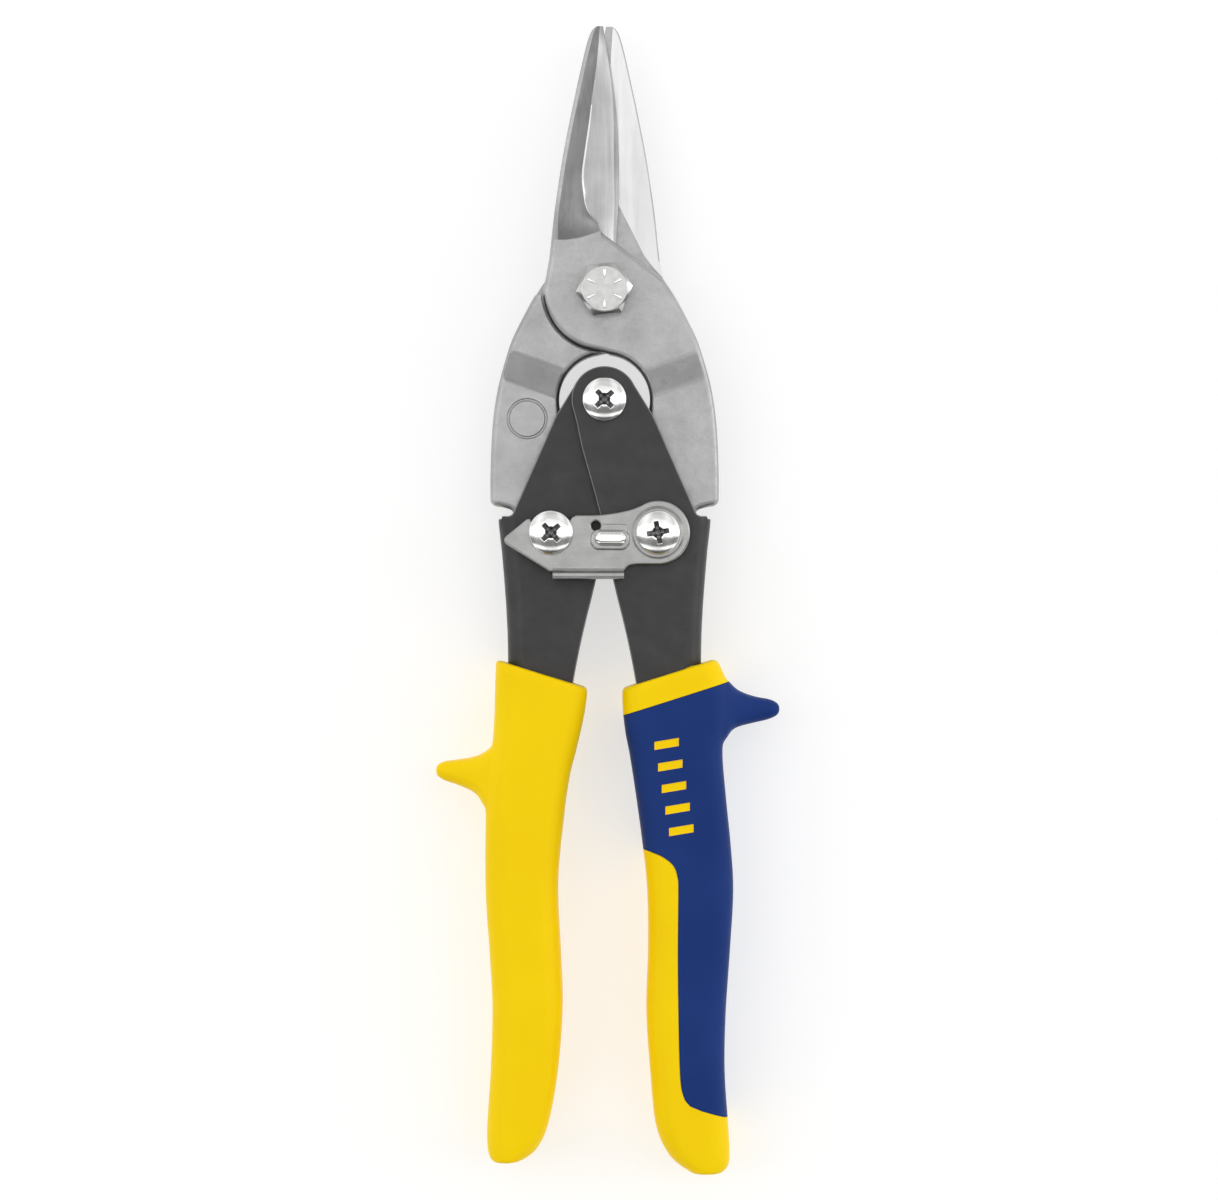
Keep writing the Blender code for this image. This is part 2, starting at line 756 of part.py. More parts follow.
def handle_pocket():
    """The space the right channel fills in a grip, with clearance, open at the grip's mouth."""
    inner_side = [(y, x) for x, y in FLANGE_INNER]
    levels = {y for _, y in FLANGE_INNER} | {y for y, _ in CHANNEL_SIDE} | {HANDLE_END - 1.0}
    stations = []
    for y in sorted(levels, reverse=True):
        if y > -70.0:
            continue
        outer = read_side(CHANNEL_SIDE, y)
        inner = read_side(inner_side, y) - GRIP_CLEARANCE
        section = channel_section(outer, inner, GRIP_CLEARANCE)
        stations.append([(x, y, z) for x, z in section])
    return loft("handle_pocket", stations)


def left_grip():
    body = soft_loft("left_grip_shape", LEFT_GRIP, GRIP_HALF, GRIP_ROUND)
    join(body, soft_loft("left_stop", LEFT_STOP, STOP_HALF, STOP_ROUND))
    pocket = handle_pocket()
    pocket.data.transform(Matrix.Rotation(math.pi, 4, "Y"))
    cut(body, pocket)
    return settle(body)


def cover_outline(grow):
    """Where the blue cover lies, seen from the front; it runs past the grip's outer side."""
    return [
        (0.0, -95.5 + grow),
        (27.0, -86.9 + grow),
        (45.0, -81.5 + grow),
        (45.0, -183.0 - grow),
        (26.5, -182.8 - grow),
        (21.4, -181.3 - grow),
        (18.9 - grow, -180.3),
        (17.4 - grow, -178.0),
        (16.6 - grow, -172.0),
        (16.2 - grow, -150.0),
        (16.3 - grow, -133.0),
        (15.2 - grow, -127.5),
        (12.8 - grow, -125.2 - grow),
        (0.0, -121.9 - grow),
    ]


def right_grip():
    """The yellow body: whole outside the cover's outline, and thinner where the cover lies on it."""
    body = soft_loft("right_grip_shape", RIGHT_GRIP, GRIP_HALF, GRIP_ROUND)
    cut(body, slab("cover_space", cover_outline(FIT_GAP / 2), -20.0, 20.0))
    join(body, soft_loft("right_grip_bed", RIGHT_GRIP[:-2], GRIP_HALF, GRIP_ROUND, COVER_DEPTH + FIT_GAP))
    cut(body, handle_pocket())
    return settle(body)


def right_grip_overmould():
    """The blue cover: the grip's outer skin inside the cover's outline, with the thumb stop."""
    body = soft_loft("cover_shape", RIGHT_GRIP, GRIP_HALF, GRIP_ROUND)
    join(body, soft_loft("right_stop", RIGHT_STOP, STOP_HALF, STOP_ROUND))
    combine(body, slab("cover_area", cover_outline(-FIT_GAP / 2), -20.0, 20.0), "INTERSECT")
    cut(body, soft_loft("cover_bed", RIGHT_GRIP[:-2], GRIP_HALF, GRIP_ROUND, COVER_DEPTH))
    return settle(body)


def build():
    forged = material("forged_steel", STEEL_GREY, 0.42, 1.0)
    dark = material("phosphated_steel", DARK_GREY, 0.5, 0.6)
    plated = material("plated_steel", PLATED, 0.22, 1.0)
    spring_steel = material("spring_steel", STEEL_GREY, 0.3, 1.0)
    yellow = material("yellow_grip", YELLOW, 0.45, 0.0)
    blue = material("blue_grip", BLUE, 0.5, 0.0)

    snips = joint_empty("snips", JAW_PIVOT, None)
    snips.location = Vector(FRAME_SHIFT) * MM
    jaw_axis = joint_empty("jaw_axis", JAW_PIVOT, snips)
    back_axis = joint_empty("back_jaw_axis", JAW_PIVOT, snips)
    right_axis = joint_empty("right_handle_axis", RIGHT_PIVOT, snips)
    left_axis = joint_empty("left_handle_axis", LEFT_PIVOT, snips)
    latch_axis = joint_empty("latch_axis", RIGHT_PIVOT, snips)

    front = jaw()
    place_part(turned_over_copy(front, "back"), "back_jaw", forged, back_axis)
    place_part(front, "front_jaw", forged, jaw_axis)
    place_part(pivot_bolt(), "pivot_bolt", plated, jaw_axis)
    place_part(pivot_washer(), "pivot_washer", plated, jaw_axis)
    place_part(pivot_nut(), "pivot_nut", plated, jaw_axis)
    place_part(opening_spring(), "opening_spring", spring_steel, jaw_axis)

    place_part(right_handle(), "right_handle", dark, right_axis)
    place_part(centre_screw(), "centre_screw", plated, right_axis)
    spacer = ring("spacer_shape", HANDLE_PIVOT, CENTRE_BARREL + 0.1, 4.2, -2.85, 2.85)
    place_part(spacer, "centre_spacer", plated, right_axis)
    centre_nut_top = -FRONT_FLANGE - SHEET - FIT_GAP
    centre_nut = small_nut("centre_nut_shape", HANDLE_PIVOT, centre_nut_top)
    place_part(centre_nut, "centre_nut", plated, right_axis)
    place_part(right_screw(), "right_screw", plated, right_axis)
    right_nut_top = BACK_FLANGE - FIT_GAP
    right_nut = small_nut("right_nut_shape", RIGHT_PIVOT, right_nut_top)
    place_part(right_nut, "right_nut", plated, right_axis)
    place_part(right_grip(), "right_grip", yellow, right_axis)
    place_part(right_grip_overmould(), "right_grip_overmould", blue, right_axis)

    place_part(left_handle(), "left_handle", dark, left_axis)
    place_part(left_screw(), "left_screw", plated, left_axis)
    left_nut_top = -FRONT_FLANGE - SHEET - FIT_GAP
    left_nut = small_nut("left_nut_shape", LEFT_PIVOT, left_nut_top)
    place_part(left_nut, "left_nut", plated, left_axis)
    place_part(left_grip(), "left_grip", yellow, left_axis)

    place_part(latch(), "latch", plated, latch_axis)
    washer_low = FRONT_FLANGE + SHEET + FIT_GAP
    washer = ring("washer_shape", RIGHT_PIVOT, PIVOT_BARREL + 0.15, 5.0, washer_low, washer_low + 0.5)
    place_part(washer, "latch_washer", plated, latch_axis)


build()
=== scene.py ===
"""Aviation snips: the look of every piece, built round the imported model.

Outlines and heights are in millimetres about the jaw pivot, +X to the right, +Y towards the blade
tips and +Z up out of the front face, with z = 0 on the shear plane between the blades. The back jaw
and the left handle are the front jaw and the right handle turned half a turn about Y.
"""

import json
import math

import bmesh
import bpy
from mathutils import Matrix, Vector
from mathutils.geometry import tessellate_polygon

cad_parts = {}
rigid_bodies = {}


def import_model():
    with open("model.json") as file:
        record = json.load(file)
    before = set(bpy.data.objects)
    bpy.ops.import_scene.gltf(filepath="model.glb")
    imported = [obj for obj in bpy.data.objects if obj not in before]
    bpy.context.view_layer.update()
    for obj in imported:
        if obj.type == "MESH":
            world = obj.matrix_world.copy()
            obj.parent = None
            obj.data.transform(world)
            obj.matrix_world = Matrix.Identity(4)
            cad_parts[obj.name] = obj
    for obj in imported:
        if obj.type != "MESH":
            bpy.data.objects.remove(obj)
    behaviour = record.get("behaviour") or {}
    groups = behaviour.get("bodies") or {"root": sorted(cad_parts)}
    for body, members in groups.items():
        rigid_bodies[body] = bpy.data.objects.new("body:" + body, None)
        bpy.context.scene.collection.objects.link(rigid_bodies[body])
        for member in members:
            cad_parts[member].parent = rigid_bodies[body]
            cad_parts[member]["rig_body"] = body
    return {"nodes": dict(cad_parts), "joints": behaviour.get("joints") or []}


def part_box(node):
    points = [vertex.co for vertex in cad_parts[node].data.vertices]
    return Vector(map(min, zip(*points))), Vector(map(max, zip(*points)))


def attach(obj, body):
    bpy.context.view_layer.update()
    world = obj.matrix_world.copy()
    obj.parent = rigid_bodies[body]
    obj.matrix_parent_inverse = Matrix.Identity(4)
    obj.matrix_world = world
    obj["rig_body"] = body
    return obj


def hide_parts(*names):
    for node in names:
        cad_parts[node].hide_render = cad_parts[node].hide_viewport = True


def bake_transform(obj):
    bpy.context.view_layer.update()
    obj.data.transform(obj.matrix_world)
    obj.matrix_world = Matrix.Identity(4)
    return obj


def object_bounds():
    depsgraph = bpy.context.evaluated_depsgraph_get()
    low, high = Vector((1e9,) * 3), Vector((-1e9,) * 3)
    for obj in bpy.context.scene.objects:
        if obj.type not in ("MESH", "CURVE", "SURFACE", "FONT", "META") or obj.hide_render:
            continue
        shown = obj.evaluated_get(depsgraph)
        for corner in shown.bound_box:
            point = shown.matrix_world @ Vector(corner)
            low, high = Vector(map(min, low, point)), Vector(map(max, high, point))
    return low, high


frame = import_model()
CAD_LOW, CAD_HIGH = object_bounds()

MM = 0.001
PIVOTS = {joint["name"]: Vector(joint["pos_m"]) for joint in frame["joints"]}
ORIGIN = PIVOTS["jaw_pivot"]


def plan(point):
    """A point of the frame as (x, y) in millimetres from the jaw pivot."""
    place = (Vector(point) - ORIGIN) / MM
    return (place.x, place.y)


def node_centre(node):
    low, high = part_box(node)
    return plan((low + high) / 2)


def node_top(node):
    return (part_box(node)[1].z - ORIGIN.z) / MM


def node_bottom(node):
    return (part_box(node)[0].z - ORIGIN.z) / MM


# Places and heights, read from the frame.
JAW_PIVOT = (0.0, 0.0)
RIGHT_PIVOT = plan(PIVOTS["right_handle_pivot"])
LEFT_PIVOT = plan(PIVOTS["left_handle_pivot"])
HANDLE_PIVOT = node_centre("centre_screw")
TIP = plan(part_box("front_jaw")[1])[1]
BOSS_FACE = node_top("front_jaw")
BODY_BACK = node_bottom("front_jaw")
FLANGE_TOP = node_top("right_handle")
FLANGE_BOTTOM = node_bottom("right_handle")
HANDLE_END = plan(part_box("right_handle")[0])[1]
BOLT_HEAD_TOP = node_top("pivot_bolt")
BOLT_END = node_bottom("pivot_bolt")
GRIP_HALF = node_top("left_grip")
TAB_TOP = node_top("latch")

# Jaws.
SHEAR_GAP = 0.15
BOSS_RADIUS = 13.6
LAP_RADIUS = 14.2
WINDOW_RADIUS = 10.1
EYE_RADIUS = 7.4
TAIL_BACK = -2.8
TAIL_FACE = 4.8
RAMP_PLACE = (15.0, -15.7)
RAMP_TILT = 20.0  # degrees, the ramp's edges against X
RAMP_WIDTH = 6.0
RAMP_SOFTNESS = 0.9
FORGED_ROUND = 1.25
SPRING_LINE = -42.0
SPRING_SEAT = 5.5
SPRING_RADIUS = 2.25
SPRING_WIRE = 0.45

# Folded handles.
SHEET = 1.8
BEND_RADIUS = 4.0
FLANGE_TOP_RADIUS = 7.3
WEB_TOP = -50.7
SHEARED_EDGE = 0.22
BARREL_CLEARANCE = 0.1
LOOP_CLEARANCE = 0.5  # at the pivot where the linkage's loop is opened

# Fasteners.
BOLT_SHANK = 3.175
BOLT_ACROSS_CORNERS = 12.83
PIVOT_BARREL = 3.0
CENTRE_BARREL = 2.4
THREAD_RADIUS = 2.0
THREAD_CHAMFER = 0.3
COLLAR_RADIUS = 3.9
CATCH_NECK = 2.1
HEAD_RADIUS = 4.92
HEAD_HEIGHT = 1.95
SMALL_NUT_CORNERS = 9.2
FIT_GAP = 0.15

# Latch.
LATCH_BACK = 7.6
LATCH_FACE = 9.1
DISH_DEPTH = 0.4

# Grips.
GRIP_ROUND = 4.5
COVER_DEPTH = 1.6
SEAM = 0.1
GRIP_CLEARANCE = 0.3

FLAT_ANGLE = 0.1  # degrees, faces this close to one plane are joined
WELD = 0.002  # points this close are one
THROUGH = 20.0  # cutters of through holes reach this far to each side

HELPERS = bpy.data.collections.new("helpers")
bpy.context.scene.collection.children.link(HELPERS)


# Materials.


class Nodes:
    """A material's node tree, with short names for the nodes that the finishes use."""

    def __init__(self, name):
        self.material = bpy.data.materials.new(name)
        self.material.use_nodes = True
        self.tree = self.material.node_tree
        self.shader = self.tree.nodes["Principled BSDF"]
        self.place = self.tree.nodes.new("ShaderNodeTexCoord").outputs["Object"]

    def link(self, source, target):
        self.tree.links.new(source, target)

    def noise(self, scale, detail=2.0, stretch=(1.0, 1.0, 1.0), turn=0.0):
        """Noise over the piece; scale is in features to the metre."""
        mapping = self.tree.nodes.new("ShaderNodeMapping")
        mapping.inputs["Rotation"].default_value = (0.0, 0.0, math.radians(turn))
        mapping.inputs["Scale"].default_value = stretch
        self.link(self.place, mapping.inputs["Vector"])
        texture = self.tree.nodes.new("ShaderNodeTexNoise")
        texture.inputs["Scale"].default_value = scale
        texture.inputs["Detail"].default_value = detail
        self.link(mapping.outputs["Vector"], texture.inputs["Vector"])
        return texture.outputs["Fac"]

    def spread(self, source, low, high, narrow=0.25):
        """The middle of a noise's range stretched over low to high."""
        node = self.tree.nodes.new("ShaderNodeMapRange")
        node.inputs["From Min"].default_value = 0.5 - narrow
        node.inputs["From Max"].default_value = 0.5 + narrow
        node.inputs["To Min"].default_value = low
        node.inputs["To Max"].default_value = high
        self.link(source, node.inputs["Value"])
        return node.outputs["Result"]

    def mix(self, share, first, second):
        """A colour between two, each a tuple or a socket."""
        node = self.tree.nodes.new("ShaderNodeMix")
        node.data_type = "RGBA"
        self.link(share, node.inputs["Factor"])
        for value, socket in ((first, node.inputs["A"]), (second, node.inputs["B"])):
            if isinstance(value, tuple):
                socket.default_value = (*value, 1.0)
            else:
                self.link(value, socket)
        return node.outputs["Result"]

    def add(self, first, second, weight):
        """first + second * weight."""
        node = self.tree.nodes.new("ShaderNodeMath")
        node.operation = "MULTIPLY_ADD"
        node.inputs[1].default_value = weight
        self.link(second, node.inputs[0])
        self.link(first, node.inputs[2])
        return node.outputs["Value"]

    def bump(self, height, depth):
        """Relief of this depth in millimetres."""
        node = self.tree.nodes.new("ShaderNodeBump")
        node.inputs["Strength"].default_value = 1.0
        node.inputs["Distance"].default_value = depth * MM
        self.link(height, node.inputs["Height"])
        self.link(node.outputs["Normal"], self.shader.inputs["Normal"])

    def constant(self, **values):
        for name, value in values.items():
            self.shader.inputs[name.replace("_", " ")].default_value = value

    def colour(self, source):
        self.link(source, self.shader.inputs["Base Color"])

    def roughness(self, source):
        self.link(source, self.shader.inputs["Roughness"])


def blasted_steel():
    """Forged steel, shot blasted and oiled: fine grain and faint clouds."""
    n = Nodes("blasted_steel")
    n.constant(Metallic=1.0)
    clouds = n.noise(160.0, 4.0)
    grain = n.noise(3200.0, 3.0)
    speckle = n.add(clouds, grain, 0.5)
    n.colour(n.mix(n.spread(speckle, 0.0, 1.0, 0.5), (0.25, 0.25, 0.255), (0.47, 0.47, 0.47)))
    n.roughness(n.spread(n.noise(900.0, 3.0), 0.34, 0.48))
    n.bump(grain, 0.02)
    return n.material


def ground_steel(name, dark, light, turn):
    """Ground steel: long fine streaks from the wheel."""
    n = Nodes(name)
    n.constant(Metallic=1.0, Anisotropic=0.3)
    streaks = n.noise(1800.0, 4.0, (1.0, 0.04, 1.0), turn)
    clouds = n.noise(110.0, 3.0)
    both = n.add(clouds, streaks, 0.6)
    n.colour(n.mix(n.spread(both, 0.0, 1.0, 0.42), dark, light))
    n.roughness(n.spread(n.noise(700.0, 3.0, (1.0, 0.08, 1.0), turn), 0.26, 0.40))
    n.bump(n.add(streaks, n.noise(1400.0, 3.0), 0.7), 0.007)
    return n.material


def metal(name, dark, light, clouds, gloss, rough, pits, depth):
    """Clouded tone, uneven gloss and faint pits; clouds, gloss and pits are (scale, detail)."""
    n = Nodes(name)
    n.constant(Metallic=1.0)
    n.colour(n.mix(n.spread(n.noise(*clouds), 0.0, 1.0), dark, light))
    n.roughness(n.spread(n.noise(*gloss), *rough))
    n.bump(n.noise(*pits), depth)
    return n.material


def bright_zinc_and_highlight():
    """Fresh zinc plate on the screws, nuts and washers; also a painted highlight on the bolt's grade marks
    and the latch's rib.
    """
    dark, light = (0.80, 0.80, 0.79), (0.92, 0.92, 0.91)
    rough = (0.10, 0.19)
    return metal("bright_zinc_and_highlight", dark, light, (420.0, 4.0), (800.0, 4.0), rough, (1500.0, 3.0), 0.006)


def darker_zinc():
    """Zinc plate on the bolt head, darker than the bright zinc."""
    dark, light = (0.42, 0.42, 0.415), (0.54, 0.54, 0.53)
    rough = (0.13, 0.22)
    return metal("darker_zinc", dark, light, (700.0, 5.0), (900.0, 4.0), rough, (2400.0, 3.0), 0.004)


def painted_recess_shade():
    """The plating inside a driver recess, darkened as painted shade where the recess lies in shadow."""
    dark, light = (0.10, 0.10, 0.10), (0.26, 0.26, 0.26)
    rough = (0.35, 0.55)
    return metal("painted_recess_shade", dark, light, (1500.0, 3.0), (2500.0, 2.0), rough, (4000.0, 2.0), 0.01)


def spring_wire():
    """Drawn spring steel."""
    dark, light = (0.34, 0.34, 0.35), (0.50, 0.50, 0.50)
    rough = (0.25, 0.42)
    return metal("spring_wire", dark, light, (1200.0, 3.0), (2400.0, 2.0), rough, (3000.0, 2.0), 0.004)


def satin_nickel():
    """The latch's satin plate with fine lengthwise scratches."""
    n = Nodes("satin_nickel")
    n.constant(Metallic=1.0)
    scratches = n.noise(2600.0, 4.0, (0.06, 1.0, 1.0), 4.0)
    clouds = n.noise(260.0, 3.0)
    both = n.add(clouds, scratches, 0.35)
    n.colour(n.mix(n.spread(both, 0.0, 1.0, 0.45), (0.26, 0.26, 0.255), (0.42, 0.42, 0.41)))
    n.roughness(n.spread(n.noise(600.0, 4.0), 0.24, 0.36))
    n.bump(scratches, 0.004)
    return n.material


def phosphate(name, dark, light, rough):
    """Dark phosphated sheet: fine crystals and a slightly mottled tone."""
    n = Nodes(name)
    n.constant(Metallic=0.5)
    crystals = n.noise(4200.0, 3.0)
    mottle = n.noise(230.0, 5.0)
    both = n.add(mottle, crystals, 0.5)
    n.colour(n.mix(n.spread(both, 0.0, 1.0, 0.5), dark, light))
    n.roughness(n.spread(n.noise(500.0, 4.0), rough - 0.06, rough + 0.06))
    n.bump(crystals, 0.008)
    return n.material


def moulded(name, dark, light, rough, grain_depth):
    """Moulded soft plastic: a fine matte grain with a trace of sheen."""
    n = Nodes(name)
    n.constant(Metallic=0.0, IOR=1.48, Specular_IOR_Level=0.10)
    tone = n.noise(60.0, 3.0)
    grain = n.noise(2300.0, 3.0)
    n.colour(n.mix(n.spread(tone, 0.0, 1.0), dark, light))
    n.roughness(n.spread(n.noise(1100.0, 3.0), rough - 0.05, rough + 0.05))
    n.bump(grain, grain_depth)
    return n.material


BLASTED = blasted_steel()
# Dark ground steel: painted shade on the bevel, which faces away from the light and is also coarsely
# ground, and on the edge strip.
BEVEL_GROUND_SHADE = ground_steel("ground_bevel_shade", (0.08, 0.08, 0.083), (0.24, 0.24, 0.24), 8.0)
# Bright ground steel: the shear face's own ground finish, and a painted highlight on the blade's crest.
FACE_GROUND_AND_CREST_HIGHLIGHT = ground_steel("ground_face_and_crest_highlight", (0.56, 0.56, 0.56), (0.70, 0.70, 0.70), -70.0)
LAND_GROUND = ground_steel("ground_land", (0.21, 0.21, 0.21), (0.37, 0.37, 0.37), 4.0)
ZINC_AND_HIGHLIGHT = bright_zinc_and_highlight()
BOLT_ZINC = darker_zinc()
RECESS_SHADE = painted_recess_shade()
NICKEL = satin_nickel()
SPRING_STEEL = spring_wire()
PHOSPHATE = phosphate("phosphate", (0.024, 0.024, 0.025), (0.048, 0.048, 0.050), 0.40)
# Paler phosphate on the handles' rounded edges.
PALE_EDGE = phosphate("phosphate_edge", (0.11, 0.11, 0.112), (0.22, 0.22, 0.22), 0.38)
YELLOW = moulded("yellow_vinyl", (0.95, 0.64, 0.0), (0.99, 0.69, 0.0), 0.42, 0.006)
BLUE = moulded("blue_vinyl", (0.008, 0.032, 0.165), (0.012, 0.042, 0.200), 0.48, 0.010)
JAW_LOOKS = [BLASTED, BEVEL_GROUND_SHADE, FACE_GROUND_AND_CREST_HIGHLIGHT, LAND_GROUND]


# Solids.


def add_object(name, mesh):
    obj = bpy.data.objects.new(name, mesh)
    HELPERS.objects.link(obj)
    return obj


def mesh_from(name, bm, looks):
    bmesh.ops.recalc_face_normals(bm, faces=bm.faces)
    mesh = bpy.data.meshes.new(name)
    bm.to_mesh(mesh)
    bm.free()
    for look in looks:
        mesh.materials.append(look)
    return mesh


def arc(centre, radius, start, end, steps):
    """Points on a circular arc; angles in degrees, anticlockwise from +X."""
    angles = [math.radians(start + (end - start) * i / steps) for i in range(steps + 1)]
    return [(centre[0] + radius * math.cos(a), centre[1] + radius * math.sin(a)) for a in angles]


def between(before, start, end, after, t):
    """A smooth curve's value a share t of the way from start to end."""
    linear = (end - before) * t
    square = (2 * before - 5 * start + 4 * end - after) * t**2
    cube = (3 * start - before - 3 * end + after) * t**3
    return 0.5 * (2 * start + linear + square + cube)


def curve_through(points, steps):
    """A smooth open curve through the points, with this many steps between each two."""
    first = tuple(2 * a - b for a, b in zip(points[0], points[1]))
    last = tuple(2 * a - b for a, b in zip(points[-1], points[-2]))
    chain = [first, *points, last]
    made = [tuple(points[0])]
    for i in range(len(points) - 1):
        for step in range(1, steps + 1):
            made.append(tuple(between(*values, step / steps) for values in zip(*chain[i : i + 4])))
    return made


def read_curve(table, key):
    """A value from (key, value) pairs in rising order of key, eased between the pairs."""
    if key <= table[0][0]:
        return table[0][1]
    for i in range(len(table) - 1):
        (k0, v0), (k1, v1) = table[i], table[i + 1]
        if key <= k1:
            slope = (v1 - v0) / (k1 - k0)
            before = slope if i == 0 else (v1 - table[i - 1][1]) / (k1 - table[i - 1][0])
            last = i + 2 >= len(table)
            after = slope if last else (table[i + 2][1] - v0) / (table[i + 2][0] - k0)
            t = (key - k0) / (k1 - k0)
            width = k1 - k0
            hermite = (2 * t**3 - 3 * t**2 + 1) * v0 + (t**3 - 2 * t**2 + t) * width * before
            return hermite + (3 * t**2 - 2 * t**3) * v1 + (t**3 - t**2) * width * after
    return table[-1][1]


def signed_area(loop):
    return sum(a[0] * b[1] - b[0] * a[1] for a, b in zip(loop, loop[1:] + loop[:1])) / 2


def inset(loop, distance):
    """The closed loop moved to its left by the distance."""
    moved = []
    for i, point in enumerate(loop):
        before = Vector(point) - Vector(loop[i - 1])
        after = Vector(loop[(i + 1) % len(loop)]) - Vector(point)
        before.normalize()
        after.normalize()
        left = Vector((-before.y - after.y, before.x + after.x))
        if left.length < 1e-6:
            left = Vector((-before.y, before.x))
        left.normalize()
        reach = distance / max(0.5, left.dot(Vector((-before.y, before.x))))
        moved.append((point[0] + left.x * reach, point[1] + left.y * reach))
    return moved


def bridge(bm, near, far):
    """Quads between two closed rings of as many points."""
    for i in range(len(near)):
        j = (i + 1) % len(near)
        bm.faces.new((near[i], near[j], far[j], far[i]))


def plate(name, outline, low, high, top_round=0.0, bottom_round=0.0, holes=(), steps=4, looks=(BLASTED,)):
    """A flat plate with its front and back edges rounded; holes are loops too."""
    loops = [outline if signed_area(outline) > 0 else outline[::-1]]
    loops += [hole if signed_area(hole) < 0 else hole[::-1] for hole in holes]
    rings = []
    for radius, level, side in ((bottom_round, low, 1), (top_round, high, -1)):
        count = steps if radius > 0 else 0
        part = []
        for step in range(count + 1):
            angle = math.radians(90 * step / max(1, count))
            part.append((radius * (1 - math.sin(angle)), level + side * radius * (1 - math.cos(angle))))
        rings += part if side > 0 else part[::-1]
    bm = bmesh.new()
    made = []
    for depth, z in rings:
        made.append([[bm.verts.new((x, y, z)) for x, y in inset(loop, depth)] for loop in loops])
    for lower, upper in zip(made, made[1:]):
        for ring_low, ring_high in zip(lower, upper):
            bridge(bm, ring_low, ring_high)
    for level in (made[0], made[-1]):
        flat = [vert for loop in level for vert in loop]
        triangles = tessellate_polygon([[vert.co.copy() for vert in loop] for loop in level])
        for triangle in triangles:
            bm.faces.new([flat[i] for i in triangle])
    return add_object(name, mesh_from(name, bm, looks))


def loft(name, rings, looks=(BLASTED,)):
    """A solid through closed rings of (x, y, z)."""
    bm = bmesh.new()
    made = [[bm.verts.new(point) for point in ring] for ring in rings]
    for near, far in zip(made, made[1:]):
        bridge(bm, near, far)
    bm.faces.new(made[0])
    bm.faces.new(made[-1])
    return add_object(name, mesh_from(name, bm, looks))


def lathe(name, centre, profile, steps=64, looks=(ZINC_AND_HIGHLIGHT,)):
    """A solid of revolution about Z from (radius, z) points; the first and last are on the axis."""
    bm = bmesh.new()
    rings = []
    for radius, z in profile[1:-1]:
        angles = [2 * math.pi * i / steps for i in range(steps)]
        ring = [(centre[0] + radius * math.cos(a), centre[1] + radius * math.sin(a), z) for a in angles]
        rings.append([bm.verts.new(point) for point in ring])
    for near, far in zip(rings, rings[1:]):
        bridge(bm, near, far)
    for ring, (_, z) in ((rings[0], profile[0]), (rings[-1], profile[-1])):
        pole = bm.verts.new((centre[0], centre[1], z))
        for i in range(steps):
            bm.faces.new((ring[i], ring[(i + 1) % steps], pole))
    return add_object(name, mesh_from(name, bm, looks))


def drum(name, centre, radius, low, high, steps=64, looks=(BLASTED,)):
    return lathe(name, centre, [(0.0, high), (radius, high), (radius, low), (0.0, low)], steps, looks)


def block(name, low, high, looks=(BLASTED,)):
    """A box between two corners, used to cut."""
    outline = [(low[0], low[1]), (high[0], low[1]), (high[0], high[1]), (low[0], high[1])]
    return plate(name, outline, low[2], high[2], looks=looks)


def turn_about(obj, centre, degrees):
    """Turns the mesh about the upright through centre."""
    there = Matrix.Translation((centre[0], centre[1], 0.0))
    obj.data.transform(there @ Matrix.Rotation(math.radians(degrees), 4, "Z") @ there.inverted())
    return obj


def evaluated_mesh(obj):
    graph = bpy.context.evaluated_depsgraph_get()
    return bpy.data.meshes.new_from_object(obj.evaluated_get(graph))


def settle(obj):
    """Applies the object's modifiers and removes the helpers that they used."""
    helpers = [m.object for m in obj.modifiers if m.type == "BOOLEAN"]
    mesh = evaluated_mesh(obj)
    obj.modifiers.clear()
    obj.data = mesh
    for helper in helpers:
        bpy.data.objects.remove(helper)
    if helpers:
        merge_flats(mesh)
    return obj


def merge_flats(mesh):
    """Joins the coplanar faces that cuts and unions leave behind."""
    bm = bmesh.new()
    bm.from_mesh(mesh)
    bmesh.ops.remove_doubles(bm, verts=bm.verts, dist=WELD)
    flat = math.radians(FLAT_ANGLE)
    bmesh.ops.dissolve_limit(bm, angle_limit=flat, verts=bm.verts, edges=bm.edges, delimit={"MATERIAL"})
    bm.to_mesh(mesh)
    bm.free()


def combine(target, other, operation):
    modifier = target.modifiers.new(other.name, "BOOLEAN")
    modifier.operation = operation
    modifier.solver = "EXACT"
    modifier.material_mode = "TRANSFER"
    modifier.object = other
    other.hide_render = True


def join(target, *others):
    for other in others:
        combine(target, other, "UNION")
    return target


def cut(target, *others):
    for other in others:
        combine(target, other, "DIFFERENCE")
    return target


def bevel(obj, width, angle=40.0, segments=2, look=-1):
    """Rounds the sharp edges; look is the material slot of the new faces."""
    modifier = obj.modifiers.new("edges", "BEVEL")
    modifier.width = width
    modifier.segments = segments
    modifier.limit_method = "ANGLE"
    modifier.angle_limit = math.radians(angle)
    modifier.use_clamp_overlap = False
    modifier.material = look
    return settle(obj)


def copy_of(obj, name):
    return add_object(name, obj.data.copy())


def turned_over(obj, name):
    """A copy after half a turn about Y."""
    made = copy_of(obj, name)
    made.data.transform(Matrix.Rotation(math.pi, 4, "Y"))
    return made


def clean(mesh):
    """Drops slivers that the cuts leave, without opening the surface."""
    bm = bmesh.new()
    bm.from_mesh(mesh)
    bmesh.ops.remove_doubles(bm, verts=bm.verts, dist=WELD)
    bmesh.ops.dissolve_degenerate(bm, edges=bm.edges, dist=0.001)
    bm.to_mesh(mesh)
    bm.free()


